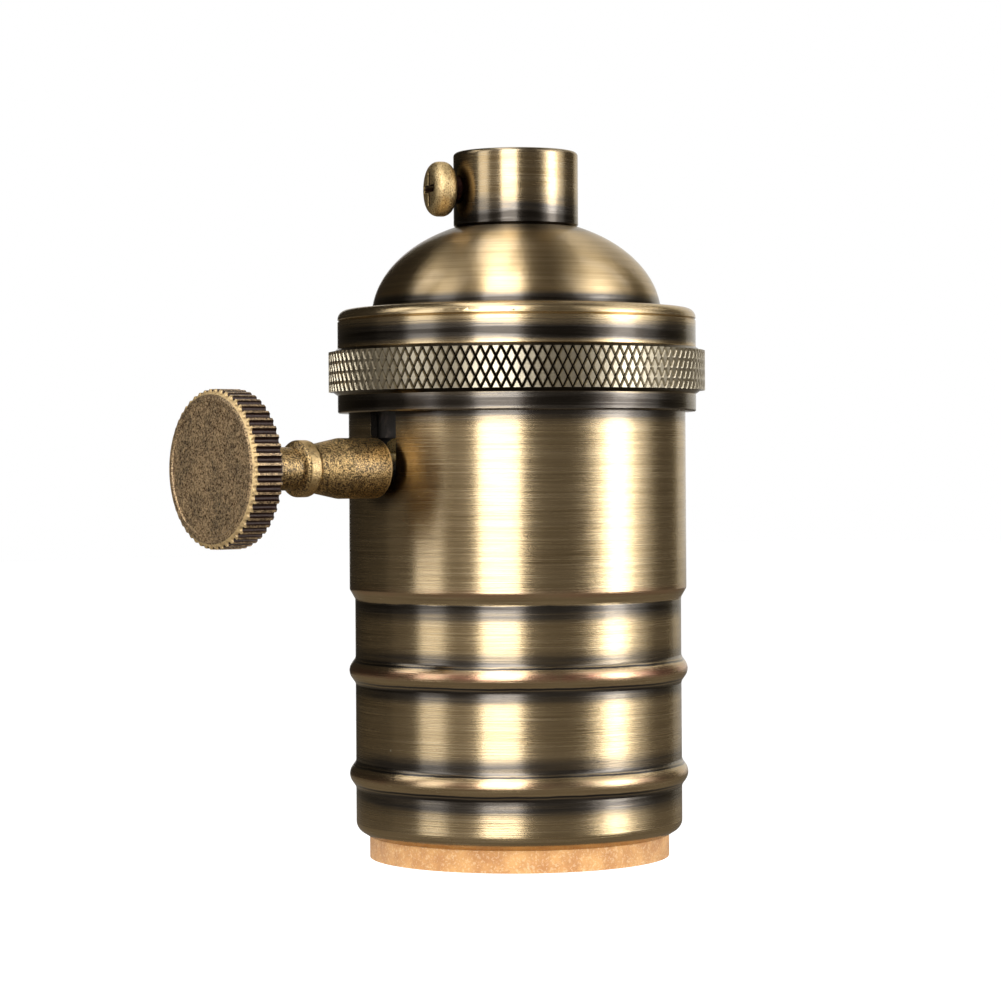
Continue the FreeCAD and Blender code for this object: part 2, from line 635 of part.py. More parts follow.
# ---- Insulating blocks -------------------------------------------------------------
def contact_base():
    """Moulded disc that closes the lamp side: a flange on the barrel's ledge, and a spigot."""
    base = disc(UPPER_BORE - 2 * BASE_SLIP, Z_BASE_TOP - Z_BASE_FLANGE, z=Z_BASE_FLANGE)
    base = base.fuse(disc(SLEEVE_BORE_RADIUS - BASE_SLIP, Z_BASE_FLANGE - Z_SHELL_TOP, z=Z_SHELL_TOP))
    bolt = RIVET_RADIUS + RIVET_FIT
    height = Z_BASE_TOP - Z_SHELL_TOP
    for y in (-SHELL_RIVET_DISTANCE, -CENTRE_RIVET_DISTANCE, SHELL_RIVET_DISTANCE):
        base = base.cut(disc(bolt, height, 0, y, Z_SHELL_TOP))
    for side in (-1, 1):
        base = base.cut(disc(BLOCK_SCREW_RADIUS + RIVET_FIT, BLOCK_SCREW_GRIP,
                             side * BLOCK_SCREW_X, side * BLOCK_SCREW_Y,
                             Z_BASE_TOP - BLOCK_SCREW_GRIP))
    return base.removeSplitter()


def switch_block():
    """Moulded block with the switch cavity, a shaft bearing each side and terminal seats."""
    radius = BLOCK_RADIUS
    body = disc(radius, BLOCK_HEIGHT, z=Z_BASE_TOP)
    ears = disc(radius, Z_BARREL_TOP - Z_BLOCK_TOP, z=Z_BLOCK_TOP)
    ears = ears.cut(disc(EAR_BORE, Z_BARREL_TOP - Z_BLOCK_TOP, z=Z_BLOCK_TOP))
    wide = BLOCK_EAR_HALF_WIDTH
    ears = ears.common(block(-radius, radius, -wide, wide, Z_BLOCK_TOP, Z_BARREL_TOP))
    body = body.fuse(ears)
    cavity = block(-CAVITY_HALF_LENGTH, CAVITY_HALF_LENGTH, -CAVITY_HALF_WIDTH,
                   CAVITY_HALF_WIDTH, Z_BASE_TOP + CAVITY_FLOOR, Z_BLOCK_TOP)
    body = body.cut(cavity)
    flange = BUSHING_RADIUS + BUSHING_FLANGE_WIDTH + RIVET_FIT
    flat = block(-radius, -BUSHING_SEAT, -flange, flange, Z_KEY - flange, Z_KEY + flange)
    bearing = on_key_axis(disc(BUSHING_RADIUS + RIVET_FIT, BUSHING_SEAT))
    recess = on_key_axis(disc(flange, BUSHING_FLANGE_THICKNESS), BUSHING_SEAT - BUSHING_FLANGE_THICKNESS)
    far_end = CAVITY_HALF_LENGTH + SHAFT_TIP_LENGTH
    far = on_key_axis(disc(SHAFT_TIP_RADIUS + SHAFT_RUNNING_FIT, far_end), -far_end)
    body = body.cut(flat).cut(bearing).cut(recess).cut(far)
    half = CONTACT_WIDTH / 2 + COVER_SLIP
    wall = NEUTRAL_LEG - TERMINAL_SHEET / 2 - CONTACT_BEND
    foot = SHELL_RIVET_DISTANCE - RIVET_HEAD_RADIUS - COVER_SLIP
    foot_height = TERMINAL_SHEET + RIVET_HEAD_HEIGHT + COVER_SLIP
    body = body.cut(block(-half, half, -radius, -wall, Z_BASE_TOP, Z_BLOCK_TOP))
    body = body.cut(block(-half, half, -radius, -foot, Z_BASE_TOP, Z_BASE_TOP + foot_height))
    pocket = disc(RIVET_HEAD_RADIUS + COVER_SLIP, RIVET_HEAD_HEIGHT + COVER_SLIP, 0,
                  SHELL_RIVET_DISTANCE, Z_BASE_TOP)
    centre = disc(RIVET_RADIUS + RIVET_FIT, CAVITY_FLOOR, 0, -CENTRE_RIVET_DISTANCE, Z_BASE_TOP)
    body = body.cut(pocket).cut(centre)
    for side in (-1, 1):
        body = body.cut(disc(TERMINAL_SCREW_RADIUS + RIVET_FIT, TERMINAL_SCREW_DEPTH, 0,
                             side * TERMINAL_DISTANCE, Z_BLOCK_TOP - TERMINAL_SCREW_DEPTH))
        body = body.cut(disc(BLOCK_SCREW_RADIUS + RIVET_FIT, BLOCK_HEIGHT, side * BLOCK_SCREW_X,
                             side * BLOCK_SCREW_Y, Z_BASE_TOP))
    return body


def cavity_cover():
    """Fibre plate over the switch cavity, notched for the live terminal's leg."""
    radius = EAR_BORE - COVER_SLIP
    plate = disc(radius, COVER_THICKNESS, z=Z_BLOCK_TOP)
    wide = COVER_HALF_WIDTH
    plate = plate.common(block(-radius, radius, -wide, wide, Z_BLOCK_TOP, Z_BLOCK_TOP + COVER_THICKNESS))
    half = CONTACT_WIDTH / 2 + COVER_SLIP
    inner = LIVE_LEG - CONTACT_SHEET / 2 - COVER_SLIP
    plate = plate.cut(block(-half, half, inner, radius, Z_BLOCK_TOP, Z_BLOCK_TOP + COVER_THICKNESS))
    for side in (-1, 1):
        plate = plate.cut(disc(BLOCK_SCREW_RADIUS + RIVET_FIT, COVER_THICKNESS,
                               side * BLOCK_SCREW_X, side * BLOCK_SCREW_Y, Z_BLOCK_TOP))
    return plate


# ---- Fasteners ---------------------------------------------------------------------
def rivet(y, low, high):
    """Rivet along Z with a low head at each end, gripping from low to high."""
    return turned([
        (0, low - RIVET_HEAD_HEIGHT), (RIVET_HEAD_RADIUS, low - RIVET_HEAD_HEIGHT, 0.3),
        (RIVET_HEAD_RADIUS, low), (RIVET_RADIUS, low), (RIVET_RADIUS, high),
        (RIVET_HEAD_RADIUS, high), (RIVET_HEAD_RADIUS, high + RIVET_HEAD_HEIGHT, 0.3),
        (0, high + RIVET_HEAD_HEIGHT),
    ]).translated(V(0, y, 0))


def slotted_screw(x, y, seat, depth, radius, head_radius, head_height):
    """Pan-head screw with a straight slot, its head standing on the seat."""
    top = seat + head_height
    body = turned([
        (0, seat - depth), (radius, seat - depth), (radius, seat),
        (head_radius, seat), (head_radius, top, 0.4 * head_height), (0, top),
    ])
    slot = 0.15 * head_radius
    body = body.cut(block(-head_radius, head_radius, -slot, slot, top - 0.45 * head_height, top))
    return body.translated(V(x, y, 0))


def terminal_screw(side):
    """Screw that clamps a core under its head, on the +Y or -Y terminal."""
    seat = Z_BLOCK_TOP + TERMINAL_SHEET
    depth = TERMINAL_SCREW_DEPTH + TERMINAL_SHEET - COVER_SLIP
    return slotted_screw(0, side * TERMINAL_DISTANCE, seat, depth, TERMINAL_SCREW_RADIUS,
                         TERMINAL_HEAD_RADIUS, TERMINAL_HEAD_HEIGHT)


def block_screw(side):
    """Long screw through the cover and the block into the contact base."""
    seat = Z_BLOCK_TOP + COVER_THICKNESS
    depth = COVER_THICKNESS + BLOCK_HEIGHT + BLOCK_SCREW_GRIP - COVER_SLIP
    return slotted_screw(side * BLOCK_SCREW_X, side * BLOCK_SCREW_Y, seat, depth,
                         BLOCK_SCREW_RADIUS, BLOCK_SCREW_HEAD_RADIUS, BLOCK_SCREW_HEAD_HEIGHT)


# ---- Contacts ----------------------------------------------------------------------
def terminal_pad(strip, side):
    """Strip joined to the wide pad under its terminal screw, and drilled for it."""
    half = TERMINAL_PAD / 2
    y = side * TERMINAL_DISTANCE
    reach = TERMINAL_HEAD_RADIUS * 0.85
    pad = block(-half, half, y - reach, y + reach, Z_BLOCK_TOP, Z_BLOCK_TOP + TERMINAL_SHEET)
    hole = disc(TERMINAL_SCREW_RADIUS + RIVET_FIT, 2 * TERMINAL_SHEET, 0, y, Z_BLOCK_TOP)
    return strip.fuse(pad).cut(hole).removeSplitter()


def spring_leaf(side, root):
    """Points of a contact leaf that bows in to touch the rotor's nose, from root to tip."""
    touch = CONTACT_NOSE_REACH + CONTACT_PLAY + CONTACT_SHEET / 2
    flare = (touch + LIVE_LEG) / 2
    up = 1 if root > Z_KEY else -1
    return [
        (side * LIVE_LEG, root),
        (side * LIVE_LEG, Z_KEY + up * LEAF_SPAN, CONTACT_BEND + CONTACT_SHEET / 2),
        (side * touch, Z_KEY, CONTACT_BEND + CONTACT_SHEET / 2),
        (side * flare, Z_KEY - up * LEAF_SPAN),
    ]


def live_terminal():
    """Folded strip: a tab under the live screw, a leg into the cavity and a spring leaf."""
    middle = Z_BLOCK_TOP + CONTACT_SHEET / 2
    path = [(TERMINAL_DISTANCE, middle), (LIVE_LEG, middle, CONTACT_BEND + CONTACT_SHEET / 2)]
    path += spring_leaf(1, Z_BLOCK_TOP)[1:]
    return terminal_pad(bent_strip(path, CONTACT_SHEET, CONTACT_WIDTH), 1)


def centre_riser():
    """Folded strip from the centre rivet, up the cavity's far wall, to the second leaf."""
    floor = Z_BASE_TOP + CAVITY_FLOOR
    middle = floor + CONTACT_SHEET / 2
    inner = CENTRE_RIVET_DISTANCE - RIVET_HEAD_RADIUS
    path = [(-inner, middle), (-LIVE_LEG, middle, CONTACT_BEND + CONTACT_SHEET / 2)]
    path += spring_leaf(-1, floor)[1:]
    strip = bent_strip(path, CONTACT_SHEET, CONTACT_WIDTH)
    return strip.cut(disc(RIVET_RADIUS + RIVET_FIT, 2 * CONTACT_SHEET, 0,
                          -CENTRE_RIVET_DISTANCE, floor))


def centre_tongue():
    """Springy contact that bows down into the screw shell to meet the lamp's tip."""
    high = Z_SHELL_TOP - CONTACT_SHEET / 2
    low = high - TONGUE_DROP
    back = CENTRE_RIVET_DISTANCE + RIVET_HEAD_RADIUS
    path = [
        (-back, high),
        (-CENTRE_RIVET_DISTANCE + RIVET_HEAD_RADIUS + 2 * CONTACT_BEND, high, 1.0),
        (-TONGUE_WIDTH / 4, low, 1.0),
        (TONGUE_WIDTH / 4, low, 1.0),
        (CENTRE_RIVET_DISTANCE - RIVET_HEAD_RADIUS, high - 0.4 * TONGUE_DROP),
    ]
    strip = bent_strip(path, CONTACT_SHEET, TONGUE_WIDTH)
    return strip.cut(disc(RIVET_RADIUS + RIVET_FIT, 3 * CONTACT_SHEET, 0, -CENTRE_RIVET_DISTANCE,
                          high - CONTACT_SHEET))


def neutral_strip():
    """Folded strip down the block's outside, from the neutral screw to the shell rivet."""
    top = Z_BLOCK_TOP + TERMINAL_SHEET / 2
    foot = Z_BASE_TOP + TERMINAL_SHEET / 2
    bend_radius = CONTACT_BEND + TERMINAL_SHEET / 2
    path = [
        (-TERMINAL_DISTANCE, top),
        (-NEUTRAL_LEG, top, bend_radius),
        (-NEUTRAL_LEG, foot, bend_radius),
        (-SHELL_RIVET_DISTANCE + RIVET_HEAD_RADIUS, foot),
    ]
    strip = terminal_pad(bent_strip(path, TERMINAL_SHEET, CONTACT_WIDTH), -1)
    return strip.cut(disc(RIVET_RADIUS + RIVET_FIT, 2 * TERMINAL_SHEET, 0,
                          -SHELL_RIVET_DISTANCE, Z_BASE_TOP))


def detent_spring():
    """Bowed leaf, trapped under the cover, that clicks over the rotor's square cam."""
    low = Z_KEY + ROTOR_RADIUS + CONTACT_PLAY + DETENT_SHEET / 2
    high = Z_BLOCK_TOP - DETENT_SHEET / 2
    end = CAVITY_HALF_WIDTH - 2 * COVER_SLIP
    shoulder = end - DETENT_RISE_LENGTH
    path = [
        (-end, high),
        (-shoulder, high, DETENT_ROUND),
        (-DETENT_TOUCH, low, DETENT_ROUND),
        (DETENT_TOUCH, low, DETENT_ROUND),
        (shoulder, high, DETENT_ROUND),
        (end, high),
    ]
    leaf = bent_strip(path, DETENT_SHEET, DETENT_WIDTH)
    return leaf.translated(V(ROTOR_END - ROTOR_CAM_LENGTH / 2, 0, 0))


# ---- Moving switch parts, on the knob's axis ---------------------------------------
def fluted_rim(height):
    """Closed wire round the knob: a hollow flute and a plain ridge in each pitch."""
    half_pitch = math.pi / KNOB_FLUTES
    half_flute = KNOB_FLUTE_SHARE * half_pitch
    valley = KNOB_RADIUS - KNOB_FLUTE_DEPTH

    def spot(radius, angle):
        """Point on the rim's level at a radius and an angle."""
        return V(radius * math.cos(angle), radius * math.sin(angle), height)

    edges = []
    for i in range(KNOB_FLUTES):
        middle = 2 * i * half_pitch
        start = spot(KNOB_RADIUS, middle - half_flute)
        end = spot(KNOB_RADIUS, middle + half_flute)
        following = spot(KNOB_RADIUS, middle + 2 * half_pitch - half_flute)
        edges.append(Part.Arc(start, spot(valley, middle), end).toShape())
        edges.append(Part.makeLine(end, following))
    return Part.Wire(edges)


def knob():
    """Knob cast in one with its stem: fluted disc, neck, bead and flared stem."""
    stem_end = STEM_START + STEM_LENGTH
    cone_end = stem_end + STEM_CONE_LENGTH
    bead_end = cone_end + STEM_BEAD_LENGTH
    back = bead_end + STEM_NECK_LENGTH
    middle = (cone_end + bead_end) / 2
    face = back + KNOB_THICKNESS
    stem = turned([
        (0, STEM_START),
        (STEM_RADIUS, STEM_START, 0.2),
        (STEM_RADIUS, stem_end, STEM_CONE_ROUND),
        (STEM_CONE_TIP, cone_end),
        (STEM_BEAD_RADIUS, middle - STEM_BEAD_LENGTH / 3, STEM_BEAD_ROUND),
        (STEM_BEAD_RADIUS, middle + STEM_BEAD_LENGTH / 3, STEM_BEAD_ROUND),
        (STEM_NECK_RADIUS, bead_end),
        (STEM_NECK_RADIUS, back + KNOB_THICKNESS / 2),
        (0, back + KNOB_THICKNESS / 2),
    ])
    fluted = Part.Face(fluted_rim(back)).extrude(V(0, 0, KNOB_THICKNESS))
    rim = KNOB_RADIUS - KNOB_BEVEL
    dished = rim - KNOB_RIM
    blank = turned([
        (0, back),
        (KNOB_RADIUS - KNOB_BACK_BEVEL, back),
        (KNOB_RADIUS, back + KNOB_BACK_BEVEL),
        (KNOB_RADIUS, face - KNOB_BEVEL_RISE),
        (rim, face),
        (dished, face),
        (dished - KNOB_FACE_SINK, face - KNOB_FACE_SINK),
        (0, face - KNOB_FACE_SINK),
    ])
    bore = disc(SHAFT_RADIUS + SHAFT_CLOSE_FIT, SHAFT_IN_STEM + SHAFT_CLOSE_FIT, z=STEM_START)
    return on_key_axis(stem.fuse(fluted.common(blank)).cut(bore))


def switch_shaft():
    """Shaft from the stem to the far bearing, squared where it drives the rotor."""
    start = -(CAVITY_HALF_LENGTH + SHAFT_TIP_LENGTH - SHAFT_CLOSE_FIT)
    square = -CAVITY_HALF_LENGTH
    shoulder = -ROTOR_START
    body = disc(SHAFT_TIP_RADIUS, square - start, z=start)
    half = SHAFT_SQUARE / 2
    body = body.fuse(block(-half, half, -half, half, square, shoulder))
    body = body.fuse(disc(SHAFT_RADIUS, STEM_START + SHAFT_IN_STEM - shoulder, z=shoulder))
    groove = disc(SHAFT_RADIUS, CLIP_THICKNESS + CONTACT_PLAY, z=CLIP_START)
    groove = groove.cut(disc(CLIP_BORE, CLIP_THICKNESS + CONTACT_PLAY, z=CLIP_START))
    return on_key_axis(body.cut(groove))


def shaft_bushing():
    """Flanged brass bearing pressed into the block from outside."""
    inner = SHAFT_RADIUS + SHAFT_RUNNING_FIT
    flange = BUSHING_SEAT - BUSHING_FLANGE_THICKNESS
    return on_key_axis(turned([
        (inner, CAVITY_HALF_LENGTH), (BUSHING_RADIUS, CAVITY_HALF_LENGTH),
        (BUSHING_RADIUS, flange), (BUSHING_RADIUS + BUSHING_FLANGE_WIDTH, flange),
        (BUSHING_RADIUS + BUSHING_FLANGE_WIDTH, BUSHING_SEAT), (inner, BUSHING_SEAT),
    ]))


def shaft_clip():
    """Open retaining clip in the shaft's groove, against the bearing."""
    clip = disc(CLIP_RADIUS, CLIP_THICKNESS, z=CLIP_START)
    clip = clip.cut(disc(CLIP_BORE + SHAFT_CLOSE_FIT, CLIP_THICKNESS, z=CLIP_START))
    mouth = CLIP_BORE * 0.8
    clip = clip.cut(block(0, CLIP_RADIUS, -mouth, mouth, CLIP_START, CLIP_START + CLIP_THICKNESS))
    return on_key_axis(clip)


def switch_rotor():
    """Insulating rotor: a drum grooved for the contact ring, and a square detent cam."""
    drum = disc(ROTOR_RADIUS, ROTOR_DRUM_LENGTH, z=-ROTOR_START - ROTOR_DRUM_LENGTH)
    seat = CONTACT_RING_WIDTH + 2 * CONTACT_PLAY
    groove = disc(ROTOR_RADIUS, seat, z=-seat / 2)
    groove = groove.cut(disc(ROTOR_RADIUS - CONTACT_RING_SHEET, seat, z=-seat / 2))
    cam = disc(ROTOR_RADIUS, ROTOR_CAM_LENGTH, z=-ROTOR_END)
    flat = ROTOR_CAM_FLAT
    cam = cam.common(block(-flat, flat, -flat, flat, -ROTOR_END, -ROTOR_END + ROTOR_CAM_LENGTH))
    half = SHAFT_SQUARE / 2 + SHAFT_CLOSE_FIT
    bore = block(-half, half, -half, half, -ROTOR_END, -ROTOR_START)
    return on_key_axis(drum.cut(groove).fuse(cam).cut(bore))


def contact_ring():
    """Sprung open ring on the rotor with two noses that bridge the contact leaves."""
    inner = ROTOR_RADIUS - CONTACT_RING_SHEET + SHAFT_CLOSE_FIT
    outer = ROTOR_RADIUS
    width = CONTACT_RING_WIDTH
    ring = disc(outer, width, z=-width / 2)
    nose_centre = CONTACT_NOSE_REACH - CONTACT_NOSE_RADIUS
    for side in (-1, 1):
        ring = ring.fuse(disc(CONTACT_NOSE_RADIUS, width, 0, side * nose_centre, -width / 2))
    ring = ring.cut(disc(inner, width, z=-width / 2))
    half = outer * math.tan(math.radians(CONTACT_RING_OPENING / 2))
    wedge = Part.Face(Part.makePolygon([
        V(0, 0, -width / 2), V(2 * outer, -2 * half, -width / 2),
        V(2 * outer, 2 * half, -width / 2), V(0, 0, -width / 2),
    ])).extrude(V(0, 0, width))
    return on_key_axis(ring.cut(wedge))


NODES = {
    "neck_bushing": neck_bushing,
    "neck_screw": neck_screw,
    "dome_cap": dome_cap,
    "knurled_collar": knurled_collar,
    "barrel": barrel,
    "insulating_sleeve": insulating_sleeve,
    "screw_shell": screw_shell,
    "contact_base": contact_base,
    "switch_block": switch_block,
    "cavity_cover": cavity_cover,
    "centre_tongue": centre_tongue,
    "centre_riser": centre_riser,
    "centre_rivet": lambda: rivet(-CENTRE_RIVET_DISTANCE, Z_SHELL_TOP - CONTACT_SHEET,
                                  Z_BASE_TOP + CAVITY_FLOOR + CONTACT_SHEET),
    "shell_rivet_neutral": lambda: rivet(-SHELL_RIVET_DISTANCE, Z_SHELL_TOP - SHELL_SHEET,
                                         Z_BASE_TOP + TERMINAL_SHEET),
    "shell_rivet_plain": lambda: rivet(SHELL_RIVET_DISTANCE, Z_SHELL_TOP - SHELL_SHEET,
                                       Z_BASE_TOP),
    "live_terminal": live_terminal,
    "live_terminal_screw": lambda: terminal_screw(1),
    "neutral_strip": neutral_strip,
    "neutral_terminal_screw": lambda: terminal_screw(-1),
    "block_screw_far": lambda: block_screw(1),
    "block_screw_near": lambda: block_screw(-1),
    "detent_spring": detent_spring,
    "shaft_bushing": shaft_bushing,
    "shaft_clip": shaft_clip,
    "switch_shaft": switch_shaft,
    "switch_rotor": switch_rotor,
    "contact_ring": contact_ring,
    "knob": knob,
}


def one_solid(shape):
    """The single solid in a shape, or the shape itself when it holds several."""
    return shape.Solids[0] if len(shape.Solids) == 1 else shape


def main():
    """Write every piece to its own STEP file."""
    os.makedirs("parts", exist_ok=True)
    for name, build in NODES.items():
        one_solid(build()).exportStep(f"parts/{name}.step")


main()
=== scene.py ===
"""Looks of the keyed lamp holder: finishes, fine pieces, studio and camera.

Meshes, lamps and the camera are in metres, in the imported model's own frame. Finishes and the
levels and radii that they follow are in mm. The holder's axis is +Z, the lamp enters at the
origin from below and the knob stands out along -X.
"""
import logging
import math
from dataclasses import dataclass
from enum import Enum
from functools import reduce
from typing import Dict, Optional, Sequence, Tuple, Union

import bpy
import numpy as np
from mathutils import Matrix, Vector


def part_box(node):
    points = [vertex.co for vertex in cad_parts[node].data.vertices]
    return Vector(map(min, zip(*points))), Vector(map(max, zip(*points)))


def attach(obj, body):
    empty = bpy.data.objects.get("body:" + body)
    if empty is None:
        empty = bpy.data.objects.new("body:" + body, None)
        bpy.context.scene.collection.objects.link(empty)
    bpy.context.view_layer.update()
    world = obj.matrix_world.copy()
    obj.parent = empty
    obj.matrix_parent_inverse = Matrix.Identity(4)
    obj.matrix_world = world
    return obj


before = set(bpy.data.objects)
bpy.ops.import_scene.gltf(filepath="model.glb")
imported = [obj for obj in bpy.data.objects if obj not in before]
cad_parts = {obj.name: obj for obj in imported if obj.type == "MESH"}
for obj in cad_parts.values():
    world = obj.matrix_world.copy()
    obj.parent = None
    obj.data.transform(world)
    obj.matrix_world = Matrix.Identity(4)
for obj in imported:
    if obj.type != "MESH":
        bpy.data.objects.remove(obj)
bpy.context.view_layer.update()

LOG = logging.getLogger("lamp_holder")
MM = 0.001

Tree = bpy.types.NodeTree
Socket = bpy.types.NodeSocket
Outputs = bpy.types.bpy_prop_collection
Material = bpy.types.Material
Colour = Tuple[float, float, float, float]
Axis = Tuple[float, float, float]
Span = Tuple[float, float]
Value = Union[Socket, float, Colour, Sequence[float]]
Feeds = Dict[Union[str, int], Value]


def rgb(red: float, green: float, blue: float) -> Colour:
    """Return a linear colour with full alpha."""
    return (red, green, blue, 1.0)


WHITE = rgb(1.0, 1.0, 1.0)


# ---- Node helpers -------------------------------------------------------------------
def plug(tree: Tree, socket: Socket, value: Value) -> None:
    """Link an input socket to the one that feeds it, or set its value.

    Args:
        tree: the node tree that holds the socket.
        socket: the input socket.
        value: another socket, or a plain value.
    """
    if isinstance(value, Socket):
        tree.links.new(value, socket)
    else:
        socket.default_value = value


def add(tree: Tree, kind: str, inputs: Optional[Feeds] = None,
        **settings: object) -> bpy.types.Node:
    """Add a node, set its properties and feed or set its inputs.

    Args:
        tree: the node tree that gets the node.
        kind: Blender's node type.
        inputs: socket name or number to the value or socket that feeds it.
        settings: properties of the node itself.

    Returns:
        The new node.
    """
    made = tree.nodes.new(kind)
    for name, value in settings.items():
        setattr(made, name, value)
    for name, value in (inputs or {}).items():
        plug(tree, made.inputs[name], value)
    return made


def calc(tree: Tree, operation: str, first: Value, second: Value = 0.0,
         clamp: bool = False) -> Socket:
    """Return the result of one sum, which clamp holds between 0 and 1."""
    made = add(tree, "ShaderNodeMath", {0: first, 1: second}, operation=operation,
               use_clamp=clamp)
    return made.outputs[0]


def times(tree: Tree, first: Value, second: Value) -> Socket:
    """Return the product of two values."""
    return calc(tree, "MULTIPLY", first, second)


def less(tree: Tree, first: Value, second: Value, clamp: bool = False) -> Socket:
    """Return the first value less the second."""
    return calc(tree, "SUBTRACT", first, second, clamp)


def vector(tree: Tree, operation: str, first: Value, second: Value) -> Outputs:
    """Return the outputs, Vector and Value, of one vector sum."""
    return add(tree, "ShaderNodeVectorMath", {0: first, 1: second},
               operation=operation).outputs


def highest(tree: Tree, masks: Sequence[Socket]) -> Socket:
    """Return the highest of several masks at each point."""
    return reduce(lambda first, second: calc(tree, "MAXIMUM", first, second), masks)


def weigh(tree: Tree, first: Value, first_share: float, second: Value,
          second_share: float) -> Socket:
    """Return the sum of two values, each times its share."""
    return calc(tree, "ADD", times(tree, first, first_share),
                times(tree, second, second_share))


def raised(tree: Tree, value: Value, share: float, base: Value) -> Socket:
    """Return base plus value times share."""
    return calc(tree, "ADD", base, times(tree, value, share))


def blend(tree: Tree, share: Value, first: Value, second: Value) -> Socket:
    """Mix two colours.

    Args:
        tree: the node tree.
        share: 0 for the first colour alone, 1 for the second.
        first: the first colour.
        second: the second colour.

    Returns:
        The mixed colour's socket.
    """
    made = add(tree, "ShaderNodeMix", {"Factor": share}, data_type="RGBA")
    for name, value in (("A", first), ("B", second)):
        plug(tree, next(s for s in made.inputs if s.name == name and s.type == "RGBA"), value)
    return next(s for s in made.outputs if s.type == "RGBA")


def ramp(tree: Tree, value: Value, low: float, high: float, to_low: float = 0.0,
         to_high: float = 1.0) -> Socket:
    """Return a value carried smoothly from one range to another, and held there."""
    made = add(tree, "ShaderNodeMapRange",
               {"Value": value, "From Min": low, "From Max": high,
                "To Min": to_low, "To Max": to_high}, interpolation_type="SMOOTHSTEP")
    return made.outputs["Result"]


class Effect:
    """A shader node group with named inputs and outputs, built once."""

    def __init__(self, name: str, inputs: Dict[str, object], outputs: Sequence[str]) -> None:
        """Make the empty group with its sockets.

        Args:
            name: the group's name.
            inputs: input name to default; a triple makes a vector, else a value.
            outputs: names of the value outputs.
        """
        self.tree = bpy.data.node_groups.new(name, "ShaderNodeTree")
        for label, default in inputs.items():
            kind = "NodeSocketVector" if isinstance(default, tuple) else "NodeSocketFloat"
            socket = self.tree.interface.new_socket(label, in_out="INPUT", socket_type=kind)
            socket.default_value = default
        for label in outputs:
            self.tree.interface.new_socket(label, in_out="OUTPUT", socket_type="NodeSocketFloat")
        self.given = self.tree.nodes.new("NodeGroupInput").outputs
        self.result = self.tree.nodes.new("NodeGroupOutput").inputs

    def put_out(self, **results: Socket) -> None:
        """Link result sockets to the group's outputs by name."""
        for label, socket in results.items():
            self.tree.links.new(socket, self.result[label])

    def place(self, tree: Tree, inputs: Feeds) -> Outputs:
        """Place the group in a material.

        Args:
            tree: the material's node tree.
            inputs: values or sockets for the group's inputs.

        Returns:
            The outputs of the placed group node.
        """
        made = tree.nodes.new("ShaderNodeGroup")
        made.node_tree = self.tree
        for name, value in inputs.items():
            plug(tree, made.inputs[name], value)
        return made.outputs


